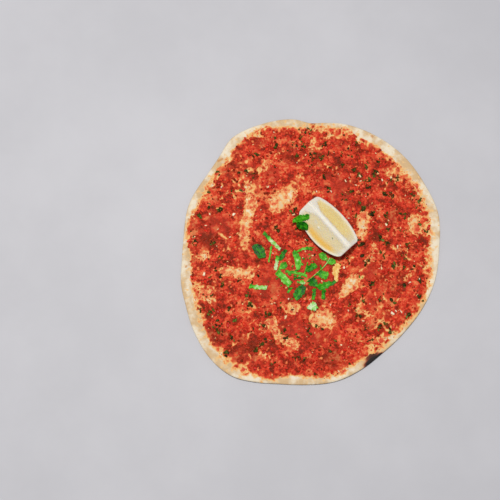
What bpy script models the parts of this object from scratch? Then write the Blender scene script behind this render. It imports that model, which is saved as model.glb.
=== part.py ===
"""Lahmacun: a thin round flatbread under a spread of spiced mince, with a quarter of lemon and chopped parsley.

Units are metres, +Z up. The origin is at the middle of the bread's outline, on the surface that it lies on.
Sizes below are in millimetres, and every mesh is scaled by MM when it is made.
"""

import math
import random

import bmesh
import bpy
from mathutils import Matrix, Vector, noise
from mathutils.bvhtree import BVHTree
from mathutils.geometry import delaunay_2d_cdt

MM = 0.001
CLEARANCE = 0.35  # air left between two pieces that touch

# Flatbread
BREAD_SPOKES = 96
BREAD_OUTLINE = (  # degrees round the middle, radius
    (0, 130.2), (15, 135.0), (30, 135.0), (45, 136.5), (60, 136.3), (75, 135.2), (83, 132.6), (90, 131.2),
    (97, 136.2), (112, 139.9), (125, 141.0), (135, 133.8), (145, 131.0), (160, 132.7), (175, 130.6),
    (185, 132.0), (195, 136.8), (205, 140.0), (215, 145.4), (228, 151.2), (238, 151.8), (247, 146.3),
    (256, 140.6), (266, 137.6), (280, 135.8), (292, 131.2), (303, 127.0), (318, 125.6), (330, 127.0),
    (345, 129.2),
)
BARE_RIM = (  # degrees, width of the rim that the mince leaves bare
    (0, 9.0), (20, 9.0), (38, 8.6), (55, 11.0), (70, 7.0), (80, 4.2), (90, 3.2), (97, 9.5), (109, 4.4),
    (125, 10.0), (134, 8.6), (143, 5.4), (157, 9.0), (167, 4.8), (175, 3.6), (184, 9.0), (205, 11.0),
    (222, 10.5), (240, 8.0), (250, 3.6), (261, 9.0), (280, 4.4), (291, 9.0), (303, 4.2), (320, 4.8),
    (332, 3.2), (342, 4.2),
)
RIM_CURL = (  # degrees, how far the edge curls up off the table
    (0, 1.4), (40, 0.6), (75, 1.2), (92, 2.6), (120, 0.7), (160, 1.5), (200, 0.6), (235, 3.0), (262, 0.9),
    (300, 2.4), (330, 1.0),
)
CURL_REACH = 30.0
BREAD_THICK = 2.7
BREAD_SWELL = 0.4  # how much the thickness wanders
SWELL_WAVE = 75.0
RIM_ROLL = 1.7  # height of the bare rim over the sheet, where the rim is wide
RIM_FULL_WIDTH = 9.0
EDGE_THICK = 1.4  # height of the outermost edge over the underside
BREAD_GRID = 12.0

# Places where the mince is missing and a blister of bread shows: spine points, half width, blister height
BARE_PATCHES = (
    (((-33, 47), (-26, 53)), 8.5, 1.0),
    (((-61, 50), (-65, 32), (-68, 15)), 4.4, 0.9),
    (((-86, -22), (-74, -26), (-63, -26)), 4.2, 0.8),
    (((43, -32), (34, -44)), 5.0, 0.9),
    (((7, -73), (16, -73)), 6.0, 0.7),
    (((-40, -78), (-34, -90), (-19, -97)), 3.6, 0.9),
    (((53, 32), (50, 15)), 4.4, 0.8),
    (((-19, -61), (-18, -61)), 4.2, 1.9),
    (((104, 29), (107, 21)), 4.6, 0.6),
    (((-110, -8), (-109, -6)), 3.4, 0.8),
)

# Mince spread
MINCE_THICK = 1.5
MINCE_ROUGH = 0.55
MINCE_EDGE_THICK = 0.55
MINCE_TAPER = 6.0  # the spread thins over this distance from its edges
MINCE_RAGGED = 3.0  # how far its edge wanders inwards
MINCE_TOP_GRID = 7.8
MINCE_UNDER_GRID = 13.0
EDGE_STEP = 6.2
LUMP_SPACING = 13.0
LUMP_HALF = (2.2, 3.6)  # half width of a lump of mince
LUMP_HEIGHT = 0.42  # its half height, as a share of that
LUMP_FLOOR = 0.35  # the least height of a lump's bottom over the spread's underside
FLAKE_EVERY = 3  # each third lump is a flat flake of cooked herb
FLAKE_HALF = (1.4, 2.2)
FLAKE_HEIGHT = 0.6
SPREAD_SEED = 7

# Lemon quarter
LEMON_RADIUS = 28.5
LEMON_HALF = 30.5  # from the middle to each trimmed end
LEMON_OVAL = 38.8  # half length that the whole lemon would have
LEMON_MIDDLE = (15.9, 19.0)
LEMON_TURN = -48.5  # direction of its long axis, in degrees
LEMON_STATIONS = (0, 6.5, 13, 19, 24, 27.2, 29.4, 30.5)  # sections, from the middle to an end
LEMON_END_ROUND = 3.6  # the trimmed ends' edges are round over this distance
LEMON_FLESH = (0.13, 0.86)  # where the flesh begins and ends, as shares of the cut face's width
LEMON_SINK = 0.55  # how far the flesh lies below the cut membranes
LEMON_ARC_STEPS = 8
LEMON_BED = 16.0  # the mince is pressed flat this far round the lemon's middle

# Parsley
LEAF_THICK = 0.45
LEAF_DROOP = 0.5  # steepest slope at which a leaf bends down from what holds it up
LEMON_LEAF_DROOP = 1.0
STEM_RADIUS = 0.65

# Leaf pieces, from the lowest up: kind, spine points, width, curl
PARSLEY = (
    ("strip", ((-40.8, 1.7), (-41.5, -4.5), (-43.5, -15.2)), 1.9, 0.5),
    ("oval", ((-58.2, 2.6), (-53.0, -3.0), (-49.6, -10.6)), 10.0, 1.0),
    ("strip", ((-48.6, 15.2), (-40.5, 6.6), (-31.6, -2.2)), 3.8, 0.6),
    ("strip", ((-63.2, -39.4), (-54.0, -40.4), (-45.2, -40.7)), 4.3, 0.7),
    ("oval", ((-25.4, -2.0), (-28.9, -6.8), (-31.8, -13.2)), 4.6, 0.8),
    ("toothed", ((-25.0, -16.8), (-32.4, -20.6)), 6.6, 0.8),
    ("strip", ((-26.8, -24.4), (-18.0, -25.4), (-11.2, -26.8), (-4.6, -29.4)), 3.4, 0.5),
    ("toothed", ((-1.4, -31.6), (4.6, -39.2)), 7.8, 0.9),
    ("strip", ((-18.4, -31.4), (-8.2, -31.0)), 2.2, 0.4),
    ("oval", ((-8.0, -38.8), (-12.2, -45.0), (-17.2, -52.0)), 9.2, 1.1),
    ("strip", ((2.6, -41.6), (2.2, -46.6), (0.9, -52.8)), 3.7, 0.6),
    ("toothed", ((16.4, -29.0), (6.2, -26.6)), 8.0, 1.0),
    ("toothed", ((5.8, -41.4), (13.0, -38.6), (23.4, -35.0)), 6.4, 0.9),
    ("strip", ((12.0, -42.4), (11.2, -52.4)), 4.2, 0.5),
    ("oval", ((15.2, -14.8), (24.2, -13.8)), 5.8, 0.9),
    ("oval", ((8.6, -5.8), (14.8, -12.4)), 6.6, 0.9),
    ("oval", ((-5.8, -24.4), (-0.6, -20.0), (5.0, -17.8)), 6.6, 1.0),
    ("strip", ((-4.0, -15.4), (-5.4, -20.4), (-7.5, -26.4)), 1.8, 0.4),
    ("strip", ((-34.8, -24.0), (-29.6, -30.2), (-22.0, -38.2)), 7.0, 1.0),
    ("strip", ((-34.2, -9.0), (-35.4, -15.6), (-37.0, -22.8)), 3.9, 0.6),
    ("oval", ((-18.6, -4.0), (-14.6, -10.2), (-13.4, -22.6)), 6.2, 1.2),
    ("forked", ((-15.5, -4.9), (-9.1, -1.5), (-3.7, -0.7), (2.6, -1.6)), 3.4, 0.7),
    ("strip", ((-20.0, -40.6), (-24.8, -46.2)), 2.4, 0.4),
    ("toothed", ((27.4, -16.6), (24.2, -24.0), (24.8, -34.0)), 6.4, 1.1),
    ("toothed", ((4.6, -58.6), (-3.4, -61.0)), 8.2, 1.2),
    ("strip", ((-12.4, -35.2), (-6.8, -36.2)), 3.8, 0.6),
)
LEMON_PARSLEY = (
    ("oval", ((-15.6, 22.8), (-4.2, 18.4)), 6.8, 0.6),
    ("oval", ((-19.4, 26.2), (-3.2, 28.2)), 5.8, 0.6),
)
STEM_SPINE = ((18.6, -10.6), (15.0, -16.5), (9.4, -22.4), (2.0, -29.0), (-5.6, -35.0))

COLOURS = {  # colour, roughness
    "flatbread": ((0.79, 0.61, 0.38), 0.75),
    "meat_topping": ((0.52, 0.07, 0.03), 0.5),
    "lemon_wedge": ((0.86, 0.78, 0.46), 0.4),
    "parsley": ((0.06, 0.3, 0.03), 0.5),
    "parsley_stem": ((0.28, 0.5, 0.16), 0.45),
}


# Curves through a few named values

def periodic_curve(table, angle):
    """The value at an angle in radians of the smooth closed curve through a table of (degrees, value)."""
    degrees = math.degrees(angle) % 360.0
    count = len(table)
    after = next((i for i in range(count) if table[i][0] > degrees), 0)
    picked = [table[(after + k) % count] for k in (-2, -1, 0, 1)]
    low, high = picked[1][0], picked[2][0]
    span = (high - low) % 360.0
    share = ((degrees - low) % 360.0) / span
    before, here, there, beyond = (value for _, value in picked)
    slope_here = (there - before) * span / (((high - picked[0][0]) % 360.0) or 1.0)
    slope_there = (beyond - here) * span / (((picked[3][0] - low) % 360.0) or 1.0)
    square, cube = share * share, share**3
    return (
        here * (2 * cube - 3 * square + 1)
        + slope_here * (cube - 2 * square + share)
        + there * (3 * square - 2 * cube)
        + slope_there * (cube - square)
    )


def smooth_step(low, high, value):
    share = min(1.0, max(0.0, (value - low) / (high - low)))
    return share * share * (3 - 2 * share)


def spine_point(spine, share):
    """A point and a unit direction on the smooth curve through two or more spine points."""
    last = len(spine) - 1
    where = min(share * last, last - 1e-6)
    index = int(where)
    part = where - index
    start, end = Vector(spine[index]), Vector(spine[index + 1])
    before = Vector(spine[index - 1]) if index else start * 2 - end
    after = Vector(spine[index + 2]) if index + 2 <= last else end * 2 - start
    tangent_start, tangent_end = (end - before) / 2, (after - start) / 2
    square, cube = part * part, part**3
    point = (
        start * (2 * cube - 3 * square + 1)
        + tangent_start * (cube - 2 * square + part)
        + end * (3 * square - 2 * cube)
        + tangent_end * (cube - square)
    )
    along = (
        start * (6 * square - 6 * part)
        + tangent_start * (3 * square - 4 * part + 1)
        + end * (6 * part - 6 * square)
        + tangent_end * (3 * square - 2 * part)
    )
    return point, along.normalized()


def wander(x, y, wave, seed):
    """Smooth noise from about -1 to 1 that changes over the given wavelength."""
    return 1.6 * noise.noise(Vector((x / wave, y / wave, seed * 7.3)))


# The bread's surfaces

def outline_radius(angle):
    return periodic_curve(BREAD_OUTLINE, angle)


def rim_width(angle):
    return max(3.0, periodic_curve(BARE_RIM, angle))


def on_bread(angle, inset):
    radius = outline_radius(angle) - inset
    return Vector((radius * math.cos(angle), radius * math.sin(angle)))


def underside(x, y):
    """Height of the bread's underside: flat on the table, and curling up towards the edge."""
    angle = math.atan2(y, x)
    inset = outline_radius(angle) - math.hypot(x, y)
    curl = max(0.0, periodic_curve(RIM_CURL, angle))
    return curl * max(0.0, 1 - max(0.0, inset) / CURL_REACH) ** 2


def sheet_top(x, y):
    """Height of the rolled sheet's upper face, without the rim's roll or the blisters."""
    return underside(x, y) + BREAD_THICK + BREAD_SWELL * wander(x, y, SWELL_WAVE, 1)


def rim_top(angle, share):
    """Height of the bare rim, at a share of its width from the edge in to the mince."""
    width = rim_width(angle)
    point = on_bread(angle, share * width)
    roll = RIM_ROLL * min(1.0, width / RIM_FULL_WIDTH) * (1 + 0.3 * wander(point.x, point.y, 22, 3))
    rounding = (1 - share) ** 8 * (BREAD_THICK - EDGE_THICK)
    return sheet_top(point.x, point.y) + roll * math.sin(math.pi * share**0.8) - rounding


# Outlines in plan, made once and shared by the bread and the mince

def band_outline(spine, half_width, steps, uneven, seed):
    """A closed outline round a spine, with round ends and an uneven edge."""
    points = []
    reach = 0.5 * half_width
    start, start_way = spine_point(spine, 0.0)
    end, end_way = spine_point(spine, 1.0)
    side_steps = max(1, steps // 3)
    for side in (1, -1):
        for k in range(side_steps + 1):
            share = k / side_steps if side == 1 else 1 - k / side_steps
            middle, way = spine_point(spine, share)
            across = Vector((way.y, -way.x)) * side
            points.append(middle + across * half_width)
        cap, cap_way = (end, end_way) if side == 1 else (start, -start_way)
        cap_across = Vector((cap_way.y, -cap_way.x))
        for turn in (-45, 0, 45):
            angle = math.radians(turn)
            rounded = cap_way * math.cos(angle) * (half_width + reach) - cap_across * math.sin(angle) * half_width
            points.append(cap + rounded)
    return [p + (p - (start + end) / 2).normalized() * uneven * wander(p.x, p.y, 5, seed) for p in points]


def inside(point, loops):
    """True where a point lies in an odd number of the closed loops."""
    crossings = 0
    for loop in loops:
        for a, b in zip(loop, loop[1:] + loop[:1]):
            if (a.y > point.y) != (b.y > point.y):
                crossings += a.x + (point.y - a.y) / (b.y - a.y) * (b.x - a.x) > point.x
    return crossings % 2 == 1


def distance_to(point, loops):
    """Distance from a point to the nearest edge of the loops."""
    nearest = 1e9
    for loop in loops:
        for a, b in zip(loop, loop[1:] + loop[:1]):
            edge = b - a
            share = min(1.0, max(0.0, (point - a).dot(edge) / edge.length_squared))
            nearest = min(nearest, (point - a - edge * share).length)
    return nearest


def grid_points(loops, spacing, keep_off, draw):
    """Jittered points on a triangular grid inside the loops, clear of their edges."""
    found = []
    reach = max(abs(c) for loop in loops for p in loop for c in p)
    rows = int(reach / (spacing * 0.866)) + 1
    columns = int(reach / spacing) + 1
    for row in range(-rows, rows + 1):
        for column in range(-columns, columns + 1):
            x = (column + 0.5 * (row % 2)) * spacing + draw.uniform(-0.16, 0.16) * spacing
            y = row * spacing * 0.866 + draw.uniform(-0.16, 0.16) * spacing
            point = Vector((x, y))
            if inside(point, loops) and distance_to(point, loops) > keep_off:
                found.append(point)
    return found


def triangulate(loops, inner_points, creases=()):
    """Points and anticlockwise triangles that fill the first loop, less the others, with edges on the creases."""
    points, edges = [], []
    for loop in [*loops, *creases]:
        first = len(points)
        points += loop
        edges += [(first + k, first + (k + 1) % len(loop)) for k in range(len(loop))]
    result = delaunay_2d_cdt([*points, *inner_points], edges, [], 0, 1e-5)
    plan, triangles = result[0], result[2]
    kept = []
    for triangle in triangles:
        corners = [plan[k] for k in triangle]
        if not inside(sum(corners, Vector((0, 0))) / 3, loops):
            continue
        turn = (corners[1] - corners[0]).cross(corners[2] - corners[0])
        kept.append(tuple(triangle) if turn > 0 else tuple(reversed(triangle)))
    return plan, kept


PATCH_OUTLINES = [
    band_outline(spine, half_width, max(3, int(8 * half_width / 4)), 0.8, 11 + number)
    for number, (spine, half_width, _) in enumerate(BARE_PATCHES)
]


# Objects and materials

def make_material(name):
    colour, roughness = COLOURS[name]
    material = bpy.data.materials.new(name)
    material.diffuse_color = (*colour, 1.0)
    material.use_nodes = True
    shader = material.node_tree.nodes["Principled BSDF"]
    shader.inputs["Base Color"].default_value = (*colour, 1.0)
    shader.inputs["Roughness"].default_value = roughness
    shader.inputs["Metallic"].default_value = 0.0
    return material


def make_object(name, vertices, faces, material):
    """A mesh object from points in millimetres."""
    mesh = bpy.data.meshes.new(name)
    mesh.from_pydata([Vector(v) * MM for v in vertices], [], faces)
    mesh.update()
    mesh.materials.append(material)
    thing = bpy.data.objects.new(name, mesh)
    bpy.context.scene.collection.objects.link(thing)
    return thing


def slab(top_plan, top_faces, top_height, under_plan, under_faces, under_height):
    """Points and faces of a closed slab. Both plans share their border, and the slab's side joins them there."""
    vertices = [(p.x, p.y, top_height(p)) for p in top_plan]
    shift = len(vertices)
    vertices += [(p.x, p.y, under_height(p)) for p in under_plan]
    under_at = {(round(p.x, 4), round(p.y, 4)): shift + k for k, p in enumerate(under_plan)}
    faces = list(top_faces)
    faces += [tuple(shift + k for k in reversed(f)) for f in under_faces]
    directed = {(f[k], f[(k + 1) % 3]) for f in top_faces for k in range(3)}
    for a, b in sorted(directed):
        if (b, a) in directed:
            continue
        a_under = under_at[(round(top_plan[a].x, 4), round(top_plan[a].y, 4))]
        b_under = under_at[(round(top_plan[b].x, 4), round(top_plan[b].y, 4))]
        faces += [(b, a, a_under), (b, a_under, b_under)]
    return vertices, faces


def build_flatbread(material):
    """Rings round the rim, from the flat underside out to the edge and in to the mince, and a filled middle."""
    angles = [2 * math.pi * k / BREAD_SPOKES for k in range(BREAD_SPOKES)]
    rings = []
    for inset, rounding in ((CURL_REACH, 0.0), (16.0, 0.0), (6.0, 0.05), (1.6, 0.35)):
        plan = [on_bread(angle, inset) for angle in angles]
        rings.append([(p.x, p.y, underside(p.x, p.y) + rounding) for p in plan])
    for share in (0.0, 0.1, 0.34, 0.68, 1.0):
        plan = [on_bread(angle, share * rim_width(angle)) for angle in angles]
        rings.append([(p.x, p.y, rim_top(angle, share)) for p, angle in zip(plan, angles)])
    vertices = [v for ring in rings for v in ring]
    faces = []
    for ring in range(len(rings) - 1):
        for k in range(BREAD_SPOKES):
            a, b = ring * BREAD_SPOKES + k, ring * BREAD_SPOKES + (k + 1) % BREAD_SPOKES
            faces.append((a, b, b + BREAD_SPOKES, a + BREAD_SPOKES))
    faces.append(tuple(reversed(range(BREAD_SPOKES))))

    border = [Vector(v[:2]) for v in rings[-1]]
    blister_rings = []
    for outline, (spine, _, _) in zip(PATCH_OUTLINES, BARE_PATCHES):
        middle = sum(outline, Vector((0, 0))) / len(outline)
        ridge = [spine_point(spine, k / 4)[0] for k in range(5)]
        inner = [p.lerp(min(ridge, key=lambda r: (r - p).length), 0.5) for p in outline[::2]]
        blister_rings.append((outline, [*inner, middle]))
    grid = grid_points([border], BREAD_GRID, BREAD_GRID * 0.45, random.Random(SPREAD_SEED))
    grid = [p for p in grid if all(distance_to(p, [o]) > 3 and not inside(p, [o]) for o, _ in blister_rings)]
    for _, inner in blister_rings:
        grid += inner
    plan, triangles = triangulate([border], grid, PATCH_OUTLINES)

    first_inner = (len(rings) - 1) * BREAD_SPOKES
    border_at = {(round(p.x, 4), round(p.y, 4)): first_inner + k for k, p in enumerate(border)}
    index = []
    for p in plan:
        key = (round(p.x, 4), round(p.y, 4))
        if key in border_at:
            index.append(border_at[key])
        else:
            index.append(len(vertices))
            vertices.append((p.x, p.y, sheet_top(p.x, p.y) + blister(p)))
    faces += [tuple(index[k] for k in t) for t in triangles]
    return make_object("flatbread", vertices, faces, material)


def blister(point):
    """How far a bubble of bread stands up inside a bare patch."""
    for outline, (_, half_width, height) in zip(PATCH_OUTLINES, BARE_PATCHES):
        if inside(point, [outline]):
            depth = min(1.0, distance_to(point, [outline]) / (0.8 * half_width))
            return height * math.sin(0.5 * math.pi * depth)
    return 0.0


# The mince spread

def mince_border():
    """The spread's outer edge: along the inner side of the bare rim, wandering inwards here and there."""
    border = []
    steps = int(2 * math.pi * 130 / EDGE_STEP)
    for k in range(steps):
        angle = 2 * math.pi * k / steps
        rough = on_bread(angle, rim_width(angle))
        inwards = MINCE_RAGGED * (0.5 + 0.5 * wander(rough.x, rough.y, 7, 21))
        border.append(on_bread(angle, rim_width(angle) + 0.4 + max(0.0, inwards)))
    return border


MINCE_LOOPS = [mince_border(), *PATCH_OUTLINES]


def lemon_bed(x, y):
    """1 under the middle of the lemon, falling to 0 round it."""
    turn = math.radians(LEMON_TURN)
    dx, dy = x - LEMON_MIDDLE[0], y - LEMON_MIDDLE[1]
    along = dx * math.cos(turn) + dy * math.sin(turn)
    across = dy * math.cos(turn) - dx * math.sin(turn)
    return 1 - smooth_step(0.8, 1.3, math.hypot(along / (1.5 * LEMON_BED), across / (0.7 * LEMON_BED)))


def mince_under(point):
    return sheet_top(point.x, point.y) + CLEARANCE


def mince_top(point):
    """Height of the spread's lumpy upper face, thin at its edges and pressed flat under the lemon."""
    taper = smooth_step(0.0, MINCE_TAPER, distance_to(point, MINCE_LOOPS))
    clumps = wander(point.x, point.y, 13, 5) + 0.6 * wander(point.x, point.y, 6, 6)
    clumps *= 1 - 0.85 * lemon_bed(point.x, point.y)
    thick = max(MINCE_EDGE_THICK, MINCE_THICK + MINCE_ROUGH * clumps)
    return mince_under(point) + MINCE_EDGE_THICK + (thick - MINCE_EDGE_THICK) * taper


def build_mince_core(material):
    draw = random.Random(SPREAD_SEED + 1)
    top_grid = grid_points(MINCE_LOOPS, MINCE_TOP_GRID, MINCE_TOP_GRID * 0.45, draw)
    under_grid = grid_points(MINCE_LOOPS, MINCE_UNDER_GRID, MINCE_UNDER_GRID * 0.45, draw)
    top_plan, top_faces = triangulate(MINCE_LOOPS, top_grid)
    under_plan, under_faces = triangulate(MINCE_LOOPS, under_grid)
    vertices, faces = slab(top_plan, top_faces, mince_top, under_plan, under_faces, mince_under)
    return make_object("meat_topping", vertices, faces, material)


def lump_places(footprints, draw):
    """Places for lumps, evenly spread, clear of the spread's edges and of what lies on it."""
    places = []
    for _ in range(9000):
        angle, radius = draw.uniform(0, 2 * math.pi), 140 * math.sqrt(draw.random())
        point = Vector((radius * math.cos(angle), radius * math.sin(angle)))
        if any((point - other).length < LUMP_SPACING for other in places):
            continue
        if not inside(point, MINCE_LOOPS) or distance_to(point, MINCE_LOOPS) < LUMP_HALF[1] + 0.8:
            continue
        if any((point - middle).length < reach + LUMP_HALF[1] + 0.8 for middle, reach in footprints):
            continue
        places.append(point)
    return places


def make_lump(number, point, spread, draw, material):
    """A rounded lump of mince, or a flat flake of herb, sunk into the spread; None where that is too thin."""
    flake = number % FLAKE_EVERY == 0
    half = draw.uniform(*(FLAKE_HALF if flake else LUMP_HALF))
    size = Vector((half, half * draw.uniform(0.6, 0.95), FLAKE_HEIGHT if flake else half * LUMP_HEIGHT))
    around = [Vector((x, y)) * 0.5 * half for x, y in ((0, 0), (1, 0), (-1, 0), (0, 1), (0, -1))]
    ground = min(height_over(spread, point + step) for step in around)
    lift = max(ground + 0.2 * size.z, mince_under(point) + LUMP_FLOOR + 1.1 * size.z)
    if lift - 0.7 * size.z > ground - 0.3:
        return None
    mesh = bmesh.new()
    bmesh.ops.create_icosphere(mesh, subdivisions=1, radius=1.0)
    for vertex in mesh.verts:
        vertex.co *= draw.uniform(0.88, 1.1)
    place = Matrix.Translation((point.x, point.y, lift)) @ Matrix.Rotation(draw.uniform(0, math.tau), 4, "Z")
    place = place @ Matrix.Rotation(draw.uniform(-0.12, 0.12), 4, "X") @ Matrix.Diagonal((*size, 1.0))
    mesh.transform(Matrix.Scale(MM, 4) @ place)
    data = bpy.data.meshes.new(f"lump_{number}")
    mesh.to_mesh(data)
    mesh.free()
    data.materials.append(material)
    return bpy.data.objects.new(data.name, data)


def fuse_lumps(core, footprints, material):
    """Joins every lump to the spread by one Boolean union on a collection."""
    draw = random.Random(SPREAD_SEED + 2)
    spread = tree_of(core)
    lumps = bpy.data.collections.new("lumps")
    bpy.context.scene.collection.children.link(lumps)
    for number, point in enumerate(lump_places(footprints, draw)):
        lump = make_lump(number, point, spread, draw, material)
        if lump:
            lumps.objects.link(lump)
    union = core.modifiers.new("fuse_lumps", "BOOLEAN")
    union.operation = "UNION"
    union.operand_type = "COLLECTION"
    union.collection = lumps
    union.solver = "EXACT"
    bpy.context.view_layer.update()
    fused = bpy.data.meshes.new_from_object(core.evaluated_get(bpy.context.evaluated_depsgraph_get()))
    core.modifiers.clear()
    core.data = fused
    for lump in list(lumps.objects):
        bpy.data.objects.remove(lump)
    bpy.data.collections.remove(lumps)


# The lemon quarter

def lemon_section(along):
    """Points round the quarter's cross-section: the apex, down one cut face, round the rind, up the other face.

    Local axes: x across, y up from the apex. The flesh lies a little below the membranes."""
    over = max(0.0, abs(along) - LEMON_HALF + LEMON_END_ROUND)
    trimmed = LEMON_END_ROUND - math.sqrt(LEMON_END_ROUND**2 - over**2)
    radius = LEMON_RADIUS * math.sqrt(1 - (along / LEMON_OVAL) ** 2) - trimmed
    end_pith = smooth_step(LEMON_HALF - 2.0, LEMON_HALF - 8.0, abs(along))
    shares = (0.04, LEMON_FLESH[0], LEMON_FLESH[0] + 0.07, 0.5, LEMON_FLESH[1] - 0.07, LEMON_FLESH[1], 0.97)
    sinks = (0.0, 0.0, 1.0, 1.2, 1.0, 0.0, 0.0)
    face = []
    for share, sink in zip(shares, sinks):
        depth = LEMON_SINK * sink * end_pith
        down = math.sqrt(0.5) * share * radius
        face.append((down - depth * math.sqrt(0.5), -down - depth * math.sqrt(0.5) - 0.5 * trimmed))
    arc = []
    for k in range(LEMON_ARC_STEPS + 1):
        angle = math.radians(-45 - 90 * k / LEMON_ARC_STEPS)
        arc.append((radius * math.cos(angle), radius * math.sin(angle) - 0.5 * trimmed))
    other_face = [(-x, y) for x, y in reversed(face)]
    return [*face, *arc, *other_face]


def build_lemon(material, base):
    stations = [-along for along in reversed(LEMON_STATIONS[1:])] + list(LEMON_STATIONS)
    turn = math.radians(LEMON_TURN)
    way, across = Vector((math.cos(turn), math.sin(turn))), Vector((-math.sin(turn), math.cos(turn)))
    middle = Vector(LEMON_MIDDLE)
    vertices = []
    for along in stations:
        for x, y in lemon_section(along):
            plan = middle + way * along + across * x
            vertices.append((plan.x, plan.y, base + LEMON_RADIUS + y))
    count = len(vertices) // len(stations)
    faces = []
    for station in range(len(stations) - 1):
        for k in range(count):
            a, b = station * count + k, station * count + (k + 1) % count
            faces.append((a, b, b + count, a + count))
    faces.append(tuple(reversed(range(count))))
    faces.append(tuple(range(len(vertices) - count, len(vertices))))
    wedge = make_object("lemon_wedge", vertices, faces, material)
    outward(wedge)
    return wedge


def outward(thing):
    """Turns every face of a closed mesh outwards."""
    mesh = bmesh.new()
    mesh.from_mesh(thing.data)
    bmesh.ops.recalc_face_normals(mesh, faces=mesh.faces)
    mesh.to_mesh(thing.data)
    mesh.free()


# Parsley

def leaf_half_width(kind, share, side, number):
    """A leaf piece's half width, as a share of its greatest, along its spine."""
    if kind == "strip":
        return 0.9 + 0.14 * wander(share * 9, side * 3 + number, 2.0, 31)
    if kind == "oval":
        return 0.38 + 0.66 * math.sin(math.pi * (0.06 + 0.84 * share)) ** 0.8
    if kind == "toothed":
        tooth = 0.26 if int(share * 8 + 0.5 * side + 0.5) % 2 else -0.2
        return (0.5 + 0.55 * math.sin(math.pi * min(1.0, 0.1 + share))) * (1 + tooth)
    return 0.62 + 0.4 * share


def leaf_outline(kind, spine, width, number):
    """A leaf piece's outline in plan, anticlockwise."""
    steps = 8 if kind == "toothed" else 5
    slant = 0.22 * (1 if number % 2 else -1)
    sides = {}
    for side in (1, -1):
        sides[side] = []
        for k in range(steps + 1):
            share = k / steps
            middle, way = spine_point(spine, share)
            across = Vector((-way.y, way.x)) * side
            half = 0.5 * width * leaf_half_width(kind, share, side, number)
            skew = way * slant * side * half * (1 if k in (0, steps) else 0)
            sides[side].append(middle + across * half + skew)
    tip = []
    if kind == "forked":
        end, way = spine_point(spine, 1.0)
        tip = [end - way * width * 0.9]
    if kind == "toothed":
        end, way = spine_point(spine, 1.0)
        tip = [end + way * width * 0.28]
    return [*sides[-1], *tip, *reversed(sides[1])]


def leaf_plan(kind, spine, width, number):
    outline = leaf_outline(kind, spine, width, number)
    last = 0.62 if kind == "forked" else 0.86
    ribs = [spine_point(spine, 0.14 + (last - 0.14) * k / 3)[0] for k in range(4)]
    return triangulate([outline], ribs)


def across_triangle(steps=5):
    """Weights of evenly spread places on a triangle, corners included."""
    return [
        (a / steps, b / steps, (steps - a - b) / steps)
        for a in range(steps + 1)
        for b in range(steps + 1 - a)
    ]


def support_samples(plan, triangles, held_by):
    """What lies under each triangle of a piece: its corners' weights, the place and the height under it."""
    samples = []
    for t in triangles:
        for weights in across_triangle():
            spot = sum((plan[k] * w for k, w in zip(t, weights)), Vector((0, 0)))
            heights = [height_over(tree, spot) for tree in held_by]
            found = [h for h in heights if h is not None]
            if found:
                samples.append((t, weights, spot, max(found)))
    return samples


def height_over(tree, spot):
    """Height in millimetres of a mesh's upper side over a place, or None beside it."""
    hit = tree.ray_cast(Vector((spot.x * MM, spot.y * MM, 0.2)), Vector((0, 0, -1)))
    return hit[0].z / MM if hit[0] else None


def draped_height(spot, held, droop):
    """The lowest surface over the places held up that is nowhere steeper than the droop."""
    return max(height - droop * (spot - place).length for place, height in held)


def tree_of(thing):
    bpy.context.view_layer.update()
    return BVHTree.FromObject(thing, bpy.context.evaluated_depsgraph_get())


def build_leaf(number, piece, held_by, material):
    """A thin wavy leaf that rests on what is under it, folded a little along its rib."""
    kind, spine, width, curl = piece
    droop = LEMON_LEAF_DROOP if piece in LEMON_PARSLEY else LEAF_DROOP
    plan, triangles = leaf_plan(kind, spine, width, number)
    samples = support_samples(plan, triangles, held_by)
    held = [(spot, height) for _, _, spot, height in samples]
    start, end = Vector(spine[0]), Vector(spine[-1])
    length = (end - start).length

    def shape(p):
        along = (p - start).dot(end - start) / length**2
        across = abs((p - start).cross((end - start) / length)) / (0.5 * width)
        wave = 0.35 * math.sin(along * 7 + number)
        return curl * (0.45 * min(1.2, across) ** 2 + 0.35 * (2 * along - 1) ** 2 + 0.3 * (1 + wave) / 2)

    heights = [draped_height(p, held, droop) + shape(p) for p in plan]
    lift = CLEARANCE
    for t, weights, _, ground in samples:
        height = sum(heights[k] * w for k, w in zip(t, weights))
        lift = max(lift, ground + CLEARANCE - height)
    at = {(round(p.x, 4), round(p.y, 4)): h + lift for p, h in zip(plan, heights)}

    def under(p):
        return at[(round(p.x, 4), round(p.y, 4))]

    vertices, faces = slab(plan, triangles, lambda p: under(p) + LEAF_THICK, plan, triangles, under)
    return make_object(f"parsley_{number + 1:02d}", vertices, faces, material)


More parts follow.
